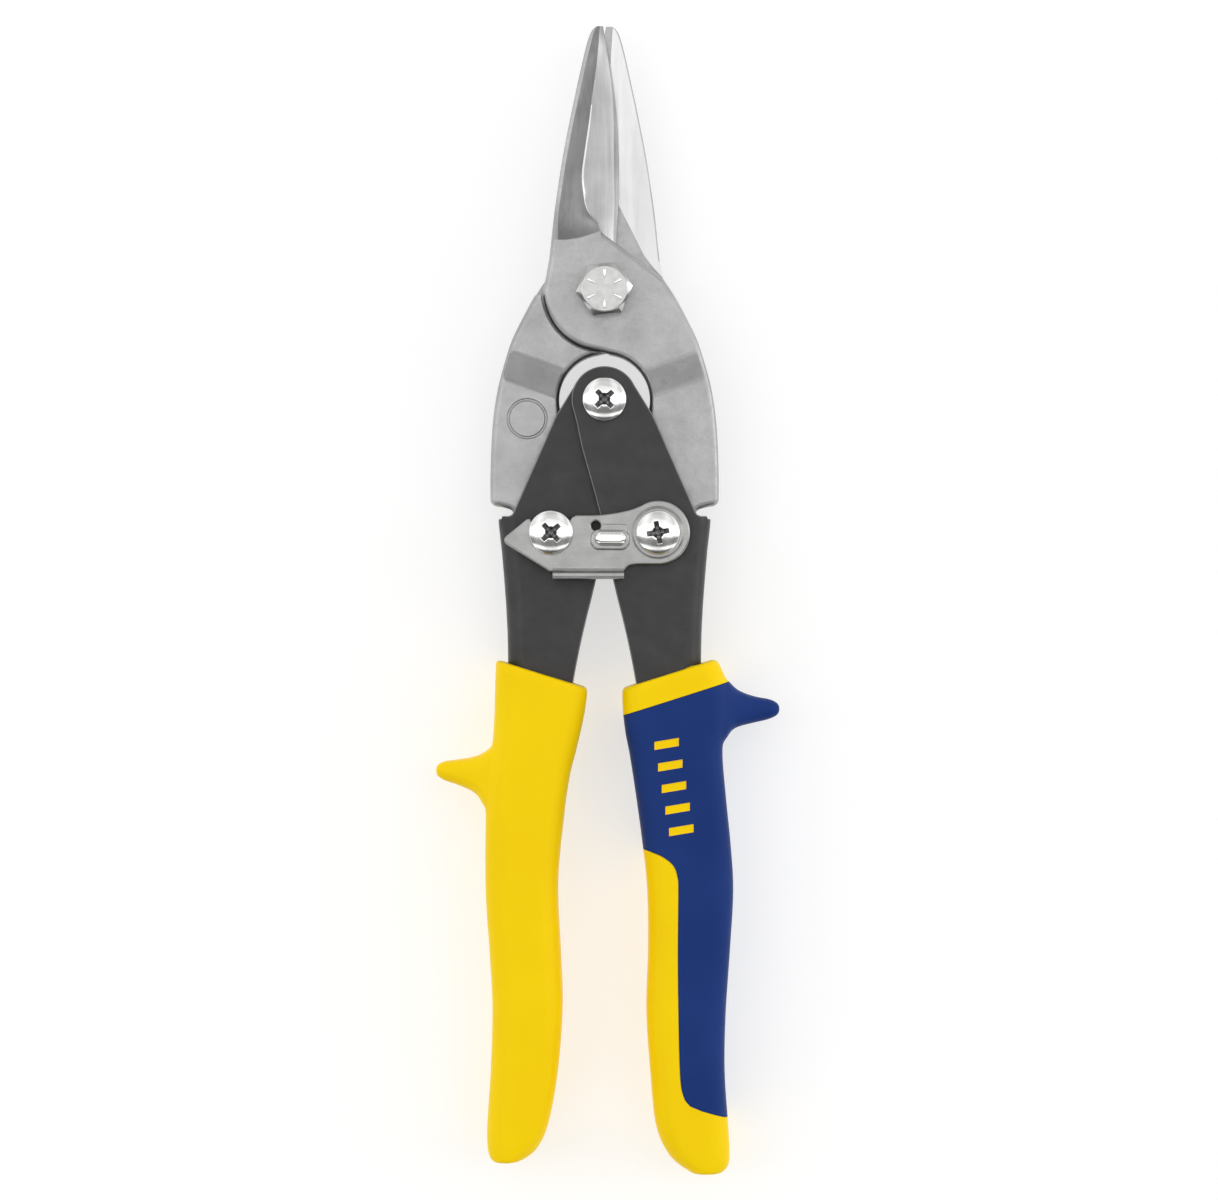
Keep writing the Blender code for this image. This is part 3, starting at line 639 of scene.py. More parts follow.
def finish_piece(obj, node, sharp=32.0):
    """Puts a finished piece in the frame, in place of the node."""
    clean(obj.data)
    obj.data.transform(Matrix.Translation(ORIGIN) @ Matrix.Scale(MM, 4))
    obj.data.shade_smooth()
    obj.data.set_sharp_from_angle(angle=math.radians(sharp))
    normals = obj.modifiers.new("even_shading", "WEIGHTED_NORMAL")
    normals.keep_sharp = True
    HELPERS.objects.unlink(obj)
    bpy.context.scene.collection.objects.link(obj)
    obj.name = "look_" + node
    obj.data.name = obj.name
    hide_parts(node)
    return obj


def ride_with(obj, node, sharp=32.0):
    finish_piece(obj, node, sharp)
    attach(obj, frame["nodes"][node]["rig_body"])
    return obj


# Jaws: the blade's lines against y, root to tip.

OUTER_X = [
    (4.0, -12.6),
    (9.0, -12.0),
    (14.5, -11.45),
    (20.2, -10.7),
    (29.1, -9.35),
    (38.0, -7.65),
    (46.9, -5.75),
    (53.1, -4.35),
    (56.7, -3.3),
    (58.1, -2.5),
    (TIP, -1.7),
]
RIDGE_X = [
    (4.0, -1.1),
    (12.9, -1.1),
    (17.4, -3.8),
    (21.3, -4.7),
    (25.5, -5.0),
    (30.9, -4.35),
    (37.8, -3.35),
    (43.0, -2.75),
    (49.8, -1.8),
    (TIP, -1.0),
]
EDGE_X = [
    (4.0, 2.4),
    (13.3, 2.75),
    (18.9, 3.05),
    (27.0, 3.2),
    (35.8, 2.95),
    (40.6, 2.55),
    (45.4, 2.0),
    (50.2, 1.3),
    (55.0, 0.35),
    (TIP, -0.32),
]
RIM_Z = [(4.0, 2.8), (24.0, 2.5), (TIP, 1.6)]
RIDGE_Z = [(25.5, 5.0), (34.0, 4.2), (43.0, 3.4), (51.5, 2.6), (TIP, 1.8)]
BEVEL_RIDGE_Z = [(12.9, 5.8), (17.4, 5.45), (21.3, 5.2)] + RIDGE_Z
LAND_RIDGE_Z = [(12.9, 3.4), (17.4, 4.5), (21.3, 4.95)] + RIDGE_Z
EDGE_Z = [(4.0, 1.9), (24.0, 1.8), (43.0, 1.4), (TIP, 1.0)]
STRIP_WIDTH = [(4.0, 0.5), (19.0, 0.85), (30.0, 1.1), (44.0, 0.5), (TIP, 0.15)]
RUN_OUT_LINE = [(-12.6, 11.1), (-8.8, 11.0), (-5.9, 11.3), (-3.5, 12.0), (-1.1, 12.9)]
RUN_OUT_ROW = 11.5
RUN_OUT_LENGTH = 8.0
ROOT_FADE = 7.0  # how far the root line's slant reaches up the blade
RIM_WIDTH = 0.9
RIM_ROUND = 0.35
RIM_LIP = 0.12
HOLLOW = 0.07  # the bevel's hollow as a share of its width
CROWN = 0.05  # the land's crown as a share of its width
CREST_WIDTH = [(12.9, 0.12), (20.0, 0.26), (32.0, 0.28), (43.0, 0.12), (TIP, 0.02)]
CREST_END = 40.0  # the crest's painted highlight runs up to here
ROOT_STEP = 0.012  # keeps the blade's top off the boss's face where they join
UNGROUND_DEPTH = 0.12
BEVEL_COLUMNS = 14
LAND_COLUMNS = 8
BEVEL_SHADE_SLOT, FACE_AND_CREST_HIGHLIGHT_SLOT, LAND_SLOT = 1, 2, 3  # places in JAW_LOOKS


def run_out_share(y):
    """How far the bevel has climbed to the boss's face: 1 from the run-out line down."""
    return min(1.0, max(0.0, (RUN_OUT_ROW + RUN_OUT_LENGTH - y) / RUN_OUT_LENGTH)) ** 2


def blade_ring(y):
    """The blade's section at y, from the outer edge's foot over the ridge to the cutting edge's foot."""
    share = run_out_share(y)
    boss = BOSS_FACE - ROOT_STEP
    outer, ridge, edge = (read_curve(line, y) for line in (OUTER_X, RIDGE_X, EDGE_X))
    rim, bevel_z, land_z, edge_z = (
        read_curve(line, y) for line in (RIM_Z, BEVEL_RIDGE_Z, LAND_RIDGE_Z, EDGE_Z)
    )
    strip = read_curve(STRIP_WIDTH, y)
    span = ridge - outer
    rim_width = min(RIM_WIDTH, 0.35 * span)
    bevel_foot = rim + RIM_LIP
    section = [(outer + 0.3, SHEAR_GAP), (outer, SHEAR_GAP + RIM_ROUND)]
    for angle in (0, 30, 60, 90):
        a = math.radians(angle)
        thin = (outer + RIM_ROUND * (1 - math.cos(a)), rim - RIM_ROUND * (1 - math.sin(a)))
        thick = (outer + FORGED_ROUND * (1 - math.cos(a)), boss - FORGED_ROUND * (1 - math.sin(a)))
        section.append(tuple(p + (q - p) * share for p, q in zip(thin, thick)))
    section.append((outer + rim_width + 0.6 * share, bevel_foot + (boss - bevel_foot) * share))
    start_x = section[-1][0]
    for column in range(1, BEVEL_COLUMNS + 1):
        t = column / BEVEL_COLUMNS
        hollow = bevel_foot + (bevel_z - bevel_foot) * t - HOLLOW * span * t * (1 - t)
        section.append((start_x + (ridge - start_x) * t, hollow + (boss - hollow) * share))
    drop = section[-1][1] - land_z
    crest = read_curve(CREST_WIDTH, y) * (1 - share)
    section.append((ridge + 0.5 * crest + 0.02, section[-1][1] + 0.03 * (1 - share)))
    foot = ridge + 0.1 + crest + 0.14 * drop
    for column in range(LAND_COLUMNS + 1):
        t = column / LAND_COLUMNS
        x = foot + (edge - strip - foot) * t
        crown = CROWN * (edge - foot) * t * (1 - t)
        section.append((x, land_z - 0.04 + (edge_z - land_z) * t + crown))
    section.append((edge, edge_z - 0.8 * strip))
    section.append((edge, SHEAR_GAP))
    ring = []
    for x, z in section:
        skew = read_curve(RUN_OUT_LINE, min(x, ridge)) - RUN_OUT_ROW
        fade = max(0.0, 1.0 - abs(y - RUN_OUT_ROW) / ROOT_FADE)
        ring.append((x, y + skew * fade, z))
    return ring


def blade():
    """The front blade, with its rim, hollow-ground bevel, ridge, land and edge strip."""
    rows = [4.0, 7.0, 10.0, 11.5, 11.9, 12.4, 13.0, 13.7, 14.5, 15.4, 16.4, 17.6, 19.0]
    rows += [19.0 + (TIP - 3.0 - 19.0) * i / 30 for i in range(1, 31)]
    rows += [TIP - 2.2, TIP - 1.5, TIP - 0.9, TIP - 0.45, TIP - 0.15, TIP]
    rings = [blade_ring(y) for y in rows]
    tip_height = 0.75
    rings[-1] = [(x, y, SHEAR_GAP + (z - SHEAR_GAP) * tip_height) for x, y, z in rings[-1]]
    made = loft("blade", rings, JAW_LOOKS)
    paint_blade(made.data, rows)
    return made


def paint_blade(mesh, rows):
    """Gives the ground bands of the blade their own finishes, with painted shade on the bevel and the edge
    strip and a painted highlight on the crest; faces run round one ring after another.
    """
    bevel_first = 6  # after the foot and the rim
    crest_first = bevel_first + BEVEL_COLUMNS
    land_first = crest_first + 2
    strip_column = land_first + LAND_COLUMNS
    columns = strip_column + 3
    for index, face in enumerate(mesh.polygons):
        row, column = divmod(index, columns)
        if row >= len(rows) - 1 or rows[row] < RUN_OUT_ROW and column < land_first:
            continue
        # The bevel and the edge strip take the dark steel as painted shade.
        if bevel_first <= column < crest_first or column == strip_column:
            face.material_index = BEVEL_SHADE_SLOT
        # The crest takes the bright steel as a painted highlight, then the land's steel past CREST_END.
        elif crest_first <= column < land_first:
            face.material_index = FACE_AND_CREST_HIGHLIGHT_SLOT if rows[row] < CREST_END else LAND_SLOT
        elif land_first <= column < strip_column:
            face.material_index = LAND_SLOT


def paint_shear_face(mesh):
    """The face that slides on the other blade is ground bright."""
    for face in mesh.polygons:
        level = abs(face.center.z - SHEAR_GAP) < 0.02
        if level and face.normal.z < -0.9 and face.center.y > 0.0:
            face.material_index = FACE_AND_CREST_HIGHLIGHT_SLOT


def jaw_outline():
    """The front jaw without its blade: boss, shoulder, tail, eye and the window's edge."""
    outer = [
        (12.95, 2.45),
        (15.6, -1.6),
        (18.2, -6.4),
        (20.4, -10.9),
        (21.9, -15.3),
        (23.2, -19.8),
        (24.1, -24.2),
        (24.7, -28.7),
        (25.1, -34.5),
        (25.3, -41.0),
        (25.3, -45.6),
    ]
    corner = arc((23.8, -46.4), 1.5, -5, -85, 5)
    notch = curve_through([(23.0, -48.0), (21.6, -48.35), (20.6, -48.8), (20.1, -49.7)], 3)
    eye = arc(RIGHT_PIVOT, EYE_RADIUS, 20, -170, 28)
    inner = [(SPRING_SEAT, -45.6), (SPRING_SEAT, -32.9)]
    window = arc(HANDLE_PIVOT, WINDOW_RADIUS, -56, 80, 28)
    boss = arc(JAW_PIVOT, BOSS_RADIUS, 262, 180, 20)
    shoulder = [(-12.9, 3.0), (-12.3, 6.5), (-6.0, 9.0), (-1.3, 13.1)]
    return curve_through(outer, 4) + corner + notch + eye + inner + window + boss + shoulder


def ramp_share(x, y):
    """0 above the ramp, 1 below it."""
    tilt = math.radians(RAMP_TILT)
    down = (x - RAMP_PLACE[0]) * math.sin(tilt) - (y - RAMP_PLACE[1]) * math.cos(tilt)
    share = 0.0
    for centre, sign in ((0.0, 1.0), (RAMP_WIDTH, -1.0)):
        past = down - centre
        if past >= RAMP_SOFTNESS:
            share += sign * past
        elif past > -RAMP_SOFTNESS:
            share += sign * (past + RAMP_SOFTNESS) ** 2 / (4 * RAMP_SOFTNESS)
    return share / RAMP_WIDTH


def lower_tail(mesh):
    """Takes the tail's front and back down over the ramp."""
    tilt = math.radians(RAMP_TILT)
    downhill = Vector((math.sin(tilt), -math.cos(tilt), 0.0))
    bm = bmesh.new()
    bm.from_mesh(mesh)
    for centre in (0.0, RAMP_WIDTH):
        for step in (-1.0, -0.5, 0.0, 0.5, 1.0):
            place = Vector((*RAMP_PLACE, 0.0)) + downhill * (centre + step * RAMP_SOFTNESS)
            geometry = [*bm.verts, *bm.edges, *bm.faces]
            bmesh.ops.bisect_plane(bm, geom=geometry, plane_co=place, plane_no=downhill)
    for vert in bm.verts:
        share = ramp_share(vert.co.x, vert.co.y)
        drop = BOSS_FACE - TAIL_FACE if vert.co.z > 0 else BODY_BACK - TAIL_BACK
        vert.co.z -= drop * share
    bm.to_mesh(mesh)
    bm.free()


def tip_facet_outline():
    """The part of the shear face that is relieved at the tip."""
    return [(1.2, TIP + 1.0), (-1.9, TIP + 1.0), (-1.35, 50.4), (-0.2, 47.0), (3.4, 47.0)]


def root_recess_outline():
    """The part of the shear face that the grinding doesn't reach, beside the boss."""
    line = [(-3.1, 19.1), (-5.9, 13.6), (-8.8, 7.8), (-11.0, 5.0), (-13.2, 2.6)]
    crown = curve_through([(4.0, 14.6), (2.4, 16.9), (0.2, 18.5), (-3.1, 19.1)], 4)
    return line + [(-14.5, -2.0), (14.0, -2.0), (14.0, 14.6)] + crown[:-1]


def jaw():
    edges = (FORGED_ROUND, FORGED_ROUND)
    body = plate("jaw_body", jaw_outline(), BODY_BACK, BOSS_FACE, *edges, looks=JAW_LOOKS)
    lower_tail(body.data)
    cut(body, drum("lap_clearance", JAW_PIVOT, LAP_RADIUS, BODY_BACK - 1.0, SHEAR_GAP, 128))
    cut(body, block("lap_top_clearance", (0.0, -1.2, BODY_BACK - 1.0), (30.0, 10.0, SHEAR_GAP)))
    join(body, blade())
    recess = SHEAR_GAP + UNGROUND_DEPTH
    cut(body, plate("tip_facet", tip_facet_outline(), -1.0, recess))
    cut(body, plate("root_recess", root_recess_outline(), -1.0, recess))
    cut(body, drum("bolt_hole", JAW_PIVOT, BOLT_SHANK + FIT_GAP, -THROUGH, THROUGH))
    cut(body, drum("eye_hole", RIGHT_PIVOT, PIVOT_BARREL + FIT_GAP, -THROUGH, THROUGH))
    settle(body)
    paint_shear_face(body.data)
    return body


def ring_mark(centre, radius, level):
    """A thin round ring that cuts a half-round groove into the face."""
    profile_radius = 0.38
    segments, sides = 64, 10
    bm = bmesh.new()
    rings = []
    for i in range(segments):
        a = 2 * math.pi * i / segments
        ring = []
        for k in range(sides):
            b = 2 * math.pi * k / sides
            reach = radius + profile_radius * math.cos(b)
            x = centre[0] + reach * math.cos(a)
            y = centre[1] + reach * math.sin(a)
            ring.append(bm.verts.new((x, y, level + 0.04 + profile_radius * math.sin(b))))
        rings.append(ring)
    for i, near in enumerate(rings):
        bridge(bm, near, rings[(i + 1) % len(rings)])
    return add_object("ring_mark", mesh_from("ring_mark", bm, (BLASTED,)))


def jaws():
    front = jaw()
    back = turned_over(front, "back")
    cut(back, ring_mark((-17.15, -28.5), 4.2, -TAIL_BACK))
    settle(back)
    ride_with(front, "front_jaw", 28.0)
    ride_with(back, "back_jaw", 28.0)


# Handles.

CHANNEL_SIDE = [
    (HANDLE_END, 21.5),
    (-130.0, 23.0),
    (-100.0, 21.6),
    (-77.0, 21.5),
    (-60.0, 22.6),
    (-50.0, 23.6),
    (-10.0, 24.5),
]
FLANGE_INNER = [
    (-6.2, -29.3),
    (-5.45, -33.0),
    (-4.5, -36.9),
    (-1.1, -49.3),
    (1.8, -63.8),
    (4.8, -76.2),
    (7.0, -87.3),
    (8.8, -100.0),
    (11.2, -125.0),
    (12.0, -150.0),
    (12.4, HANDLE_END),
]


def channel_section(outer, inner, grow, steps):
    """The folded sheet across the handle: two flanges and the web between round bends."""
    front = FLANGE_TOP + grow
    back = FLANGE_BOTTOM - grow
    side = outer + grow
    bend = BEND_RADIUS + grow
    front_bend = arc((side - bend, front - bend), bend, 90, 0, steps)
    back_bend = arc((side - bend, back + bend), bend, 0, -90, steps)
    return [(inner, front)] + front_bend + back_bend + [(inner, back)]


def channel():
    rings = []
    for step in range(29):
        y = -10.0 + (HANDLE_END + 10.0) * step / 28
        outer = read_curve(CHANNEL_SIDE, y)
        outside = channel_section(outer, -12.0, 0.0, 10)
        inside = channel_section(outer, -12.0, -SHEET, 10)
        rings.append([(x, y, z) for x, z in outside + inside[::-1]])
    return loft("channel", rings, (PHOSPHATE, PALE_EDGE))


def handle_outline():
    top = arc(HANDLE_PIVOT, FLANGE_TOP_RADIUS, 198, 25, 32)
    shoulder = [(10.7, -27.8), (20.1, -49.2), (20.5, -49.8), (21.2, -50.1), (22.5, -50.1), (23.3, -50.6)]
    outer = [(26.0, WEB_TOP), (26.0, HANDLE_END)]
    inner = curve_through(FLANGE_INNER, 3)
    return top + shoulder + outer + inner[::-1]


def handle(centre_clearance):
    body = channel()
    outline = plate("flanges", handle_outline(), -9.0, 11.0, looks=(PHOSPHATE, PALE_EDGE))
    combine(body, outline, "INTERSECT")
    relief_top = FLANGE_TOP - SHEET + 0.001
    cut(body, block("web_relief", (17.0, WEB_TOP, TAIL_BACK - 0.3), (30.0, -40.0, relief_top)))
    bore = PIVOT_BARREL + BARREL_CLEARANCE
    cut(body, drum("pivot_hole", RIGHT_PIVOT, bore, -THROUGH, THROUGH, 48, (PHOSPHATE,)))
    bore = CENTRE_BARREL + centre_clearance
    cut(body, drum("centre_hole", HANDLE_PIVOT, bore, -THROUGH, THROUGH, 48, (PHOSPHATE,)))
    settle(body)
    return bevel(body, SHEARED_EDGE, 50.0, 2, 1)


def handles():
    ride_with(handle(BARREL_CLEARANCE), "right_handle")
    shape = handle(LOOP_CLEARANCE)
    left = turned_over(shape, "left")
    bpy.data.objects.remove(shape)
    ride_with(left, "left_handle")


# Fasteners.


def hexagon(name, centre, corners, low, high, turn, look):
    outline = [(centre[0] + x, centre[1] + y) for x, y in arc((0, 0), corners / 2, turn, turn + 300, 5)]
    return plate(name, outline, low, high, looks=(look,))


def pivot_bolt():
    """Hex head with a chamfered rim, a flat round top and six raised radial grade marks."""
    low = BOSS_FACE + FIT_GAP
    face = BOLT_HEAD_TOP - 0.22
    body = hexagon("bolt_head", JAW_PIVOT, BOLT_ACROSS_CORNERS, low - 1.0, face + 1.0, 6.0, BOLT_ZINC)
    crown = [(0.0, face), (4.85, face), (5.02, face - 0.03), (5.15, face - 0.12)]
    crown += [(6.45, face - 0.85), (8.0, face - 1.75), (8.0, low), (0.0, low)]
    combine(body, lathe("bolt_crown", JAW_PIVOT, crown, 96, (BOLT_ZINC,)), "INTERSECT")
    bevel(body, 0.12, 35.0, 2)
    for mark in range(6):
        bar = [(2.4, -0.16), (4.3, -0.36), (4.3, 0.36), (2.4, 0.16)]
        # The marks take the bright zinc as a painted highlight against the head's darker zinc.
        raised = plate("grade_mark", bar, face - 0.4, BOLT_HEAD_TOP, 0.13, steps=3, looks=(ZINC_AND_HIGHLIGHT,))
        join(body, turn_about(raised, JAW_PIVOT, 30 + 60 * mark))
    settle(body)
    shank = [(0.0, low + 1.0), (BOLT_SHANK, low + 1.0), (BOLT_SHANK, BOLT_END + 0.5)]
    shank += [(BOLT_SHANK - 0.5, BOLT_END), (0.0, BOLT_END)]
    join(body, lathe("bolt_shank", JAW_PIVOT, shank, 64, (BOLT_ZINC,)))
    ride_with(settle(body), "pivot_bolt")


def pivot_washer():
    """A split lock washer whose ends stand apart."""
    low, high = node_bottom("pivot_washer"), node_top("pivot_washer")
    hole = arc(JAW_PIVOT, BOLT_SHANK + 0.15, 0, 354, 59)
    body = plate("lock_washer", arc(JAW_PIVOT, 5.6, 0, 355, 71), low, high, 0.15, 0.15, [hole], 2, (ZINC_AND_HIGHLIGHT,))
    split = block("split", (2.0, -0.3, low - 1), (8.0, 0.3, high + 1), (ZINC_AND_HIGHLIGHT,))
    cut(body, turn_about(split, JAW_PIVOT, 12.0))
    ride_with(settle(body), "pivot_washer")


def nut(node, centre, corners, bore):
    """A hex nut: chamfered outer end, washer face and a countersunk bore."""
    low, high = node_bottom(node), node_top(node)
    body = hexagon(node + "_hex", centre, corners, low - 1.0, high + 1.0, 30.0, ZINC_AND_HIGHLIGHT)
    flat = corners / 2 * 0.85
    rise = (corners / 2 - flat) * 0.6
    form = [(0.0, high), (flat + 0.2, high), (corners / 2 + 0.1, high - 0.2)]
    form += [(corners / 2 + 0.1, low + rise), (flat, low), (0.0, low)]
    combine(body, lathe(node + "_form", centre, form, 96), "INTERSECT")
    sink = [(0.0, high + 0.6), (bore + 1.0, high + 0.6), (bore, high - 0.4)]
    sink += [(bore, low + 0.4), (bore + 1.0, low - 0.6), (0.0, low - 0.6)]
    cut(body, lathe(node + "_bore", centre, sink, 64))
    settle(body)
    ride_with(bevel(body, 0.1, 40.0, 2), node, 40.0)


def cross_cutter(centre, top, turn):
    """The tapered cross of a screwdriver's point."""
    # The cutter's faces carry the recess's painted shade into the head.
    arms = []
    for side in (0, 90):
        rings = []
        for z, reach, width in ((top + 0.5, 3.3, 0.62), (top - 1.3, 1.3, 0.36)):
            rings.append([(-reach, -width, z), (reach, -width, z), (reach, width, z), (-reach, width, z)])
        arm = loft("cross_arm", rings, (RECESS_SHADE,))
        arm.data.transform(Matrix.Rotation(math.radians(side), 4, "Z"))
        arms.append(arm)
    point = [(0, top + 0.5), (1.55, top + 0.5), (0.7, top - 1.35), (0, top - 1.7)]
    core = lathe("cross_core", (0, 0), point, 24, (RECESS_SHADE,))
    made = settle(join(arms[0], arms[1], core))
    made.data.transform(Matrix.Rotation(math.radians(turn), 4, "Z"))
    made.data.transform(Matrix.Translation((centre[0], centre[1], 0.0)))
    return made


def domed_screw(node, centre, head_low, stem, turn):
    """A polished domed head with a cross recess; stem is its side below the head as (radius, z)."""
    top = head_low + HEAD_HEIGHT
    rim_height = 0.45
    crown = [(0.0, top)]
    for step in range(1, 13):
        angle = math.radians(90 * step / 12)
        rise = (HEAD_HEIGHT - rim_height) * math.cos(angle)
        crown.append((HEAD_RADIUS * math.sin(angle) ** 1.06, head_low + rim_height + rise))
    rim = [(HEAD_RADIUS, head_low + 0.18), (HEAD_RADIUS - 0.06, head_low + 0.05)]
    rim.append((HEAD_RADIUS - 0.2, head_low))
    low = node_bottom(node)
    end = [(THREAD_RADIUS, low + THREAD_CHAMFER), (THREAD_RADIUS - THREAD_CHAMFER, low), (0.0, low)]
    body = lathe(node + "_turned", centre, crown + rim + stem + end, 80)
    cut(body, cross_cutter(centre, top, turn))
    settle(body)
    ride_with(bevel(body, 0.07, 38.0, 2), node, 38.0)


def screws():
    head = FLANGE_TOP + FIT_GAP
    stem = [(CENTRE_BARREL, head), (CENTRE_BARREL, -FLANGE_TOP), (THREAD_RADIUS, -FLANGE_TOP)]
    domed_screw("centre_screw", HANDLE_PIVOT, head, stem, 42.0)
    head = LATCH_FACE - DISH_DEPTH + FIT_GAP
    stem = [(PIVOT_BARREL, head), (PIVOT_BARREL, FLANGE_BOTTOM), (THREAD_RADIUS, FLANGE_BOTTOM)]
    domed_screw("right_screw", RIGHT_PIVOT, head, stem, 10.0)
    head = LATCH_FACE + FIT_GAP
    collar_top = LATCH_BACK - FIT_GAP
    collar_low = -FLANGE_BOTTOM + FIT_GAP
    stem = [(CATCH_NECK, head), (CATCH_NECK, collar_top), (COLLAR_RADIUS, collar_top)]
    stem += [(COLLAR_RADIUS, collar_low), (PIVOT_BARREL, collar_low)]
    stem += [(PIVOT_BARREL, -FLANGE_TOP), (THREAD_RADIUS, -FLANGE_TOP)]
    domed_screw("left_screw", LEFT_PIVOT, head, stem, 42.0)


def ring(node, centre, inner, outer):
    low, high = node_bottom(node), node_top(node)
    hole = arc(centre, inner, 0, 354, 59)
    body = plate(node + "_ring", arc(centre, outer, 0, 355, 71), low, high, 0.12, 0.12, [hole], 2, (ZINC_AND_HIGHLIGHT,))
    ride_with(body, node)


def fasteners():
    pivot_bolt()
    pivot_washer()
    nut("pivot_nut", JAW_PIVOT, BOLT_ACROSS_CORNERS, BOLT_SHANK + 0.1)
    screws()
    pivots = {"centre_nut": HANDLE_PIVOT, "right_nut": RIGHT_PIVOT, "left_nut": LEFT_PIVOT}
    for node, centre in pivots.items():
        nut(node, centre, SMALL_NUT_CORNERS, THREAD_RADIUS + 0.1)
    ring("centre_spacer", HANDLE_PIVOT, CENTRE_BARREL + 0.1, 4.2)
    ring("latch_washer", RIGHT_PIVOT, PIVOT_BARREL + 0.15, 5.0)


# Latch.


def latch_outline():
    """The plate from nose to pivot end, with the open notch for the left screw's neck."""
    cx, cy = LEFT_PIVOT
    notch = [(cx - 4.6, -50.75), (cx - 4.35, -51.2), (cx - 2.2, cy - 0.95)]
    notch += arc(LEFT_PIVOT, 2.4, 215, 345, 12)
    notch += [(cx + 2.6, cy + 0.5), (-7.7, -51.3), (-7.2, -50.5)]
    upper = curve_through([(-6.3, -49.95), (-1.1, -49.85), (3.7, -49.2), (7.0, -48.3), (9.0, -47.35)], 3)
    eye = arc(RIGHT_PIVOT, 7.1, 105, -94, 38)
    lower = curve_through([(9.0, -60.9), (6.9, -60.95), (5.3, -61.3), (4.35, -62.2)], 4)
    nose = arc((-20.9, -55.5), 1.2, 225, 140, 5) + [(-17.2, -50.9), (-16.7, -50.75)]
    return nose + notch + upper + eye + lower + [(-11.4, -62.5), (-12.2, -62.4)]


def latch_tab():
    """The finger tab: bent up along the plate's lower edge."""
    inner = [(-60.6, LATCH_FACE - 0.02), (-61.4, LATCH_FACE - 0.02)]
    inner += arc((-61.4, LATCH_FACE + 1.2), 1.2, -90, -180, 8)
    inner += [(-62.6, TAB_TOP - 0.45), (-62.72, TAB_TOP - 0.13), (-63.0, TAB_TOP)]
    outer = [(-63.6, TAB_TOP), (-63.95, TAB_TOP - 0.15), (-64.1, TAB_TOP - 0.5)]
    outer += arc((-61.4, LATCH_BACK + 2.7), 2.7, 180, 270, 8)
    profile = inner + outer + [(-60.6, LATCH_BACK + 0.02)]
    rings = []
    for x in (-11.4, 4.3):
        rings.append([(x, y, z) for y, z in profile])
    return loft("latch_tab", rings, (NICKEL,))


def pad(name, centre, width, height, corner, low, high, rounding, look):
    """A raised pad with rounded corners and edges."""
    outline = []
    for start, sx, sy in ((0, 1, 1), (90, -1, 1), (180, -1, -1), (270, 1, -1)):
        middle = (centre[0] + sx * (width / 2 - corner), centre[1] + sy * (height / 2 - corner))
        outline += arc(middle, corner, start, start + 90, 6)[:-1]
    return plate(name, outline, low, high, rounding, steps=6, looks=(look,))


def latch():
    """Stamped plate: dished screw seat, small hole, embossed rib and bent tab."""
    hole = arc((-1.9, -52.3), 1.0, 0, 348, 29)
    body = plate("latch_plate", latch_outline(), LATCH_BACK, LATCH_FACE, 0.45, 0.15, [hole], 5, (NICKEL,))
    join(body, latch_tab())
    foot = LATCH_FACE - 0.5
    join(body, pad("rib_shoulder", (2.1, -53.4), 5.8, 3.0, 0.8, foot, LATCH_FACE + 0.25, 0.25, NICKEL))
    join(body, pad("rib_step", (1.25, -55.4), 8.7, 4.7, 2.0, foot, LATCH_FACE + 0.45, 0.5, NICKEL))
    # The rib takes the bright zinc as a painted highlight on the stamped nickel plate.
    join(body, pad("rib", (1.35, -55.1), 7.2, 3.5, 1.7, foot, LATCH_FACE + 1.2, 1.15, ZINC_AND_HIGHLIGHT))
    cut(body, drum("latch_pivot_hole", RIGHT_PIVOT, PIVOT_BARREL + 0.15, 0, THROUGH, 64, (NICKEL,)))
    seat = LATCH_FACE - DISH_DEPTH
    dish = [(0, THROUGH), (5.9, THROUGH), (5.9, LATCH_FACE + 0.01)]
    dish += [(5.5, seat + 0.12), (5.2, seat), (0, seat)]
    cut(body, lathe("latch_dish", RIGHT_PIVOT, dish, 96, (NICKEL,)))
    settle(body)
    ride_with(body, "latch", 35.0)


# Spring.


def spring():
    """A compression coil along X between the jaw tails, its end turns closed."""
    reach = SPRING_SEAT - FIT_GAP - SPRING_WIRE
    turns, segments, sides = 6, 24, 12
    end_closing = 0.035
    rings = []
    for i in range(turns * segments + 1):
        share = i / (turns * segments)
        angle = 2 * math.pi * i / segments
        closed = share - end_closing * math.sin(2 * math.pi * share)
        middle = Vector((-reach + 2 * reach * closed, 0.0, 0.0))
        outward = Vector((0.0, math.cos(angle), math.sin(angle)))
        forward = Vector((2 * reach / turns, 0.0, 0.0))
        forward += Vector((0.0, -math.sin(angle), math.cos(angle))) * 2 * math.pi * SPRING_RADIUS
        sideways = forward.normalized().cross(outward)
        ring = []
        for k in range(sides):
            b = 2 * math.pi * k / sides
            point = middle + outward * (SPRING_RADIUS + SPRING_WIRE * math.cos(b))
            point += sideways * SPRING_WIRE * math.sin(b)
            ring.append((point.x, point.y + SPRING_LINE, point.z))
        rings.append(ring)
    body = loft("spring", rings, (SPRING_STEEL,))
    finish_piece(body, "opening_spring", 60.0)
    body.modifiers.clear()
    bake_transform(body)


# Grips. Each station: outer edge and inner edge as (x, y), from the mouth down.

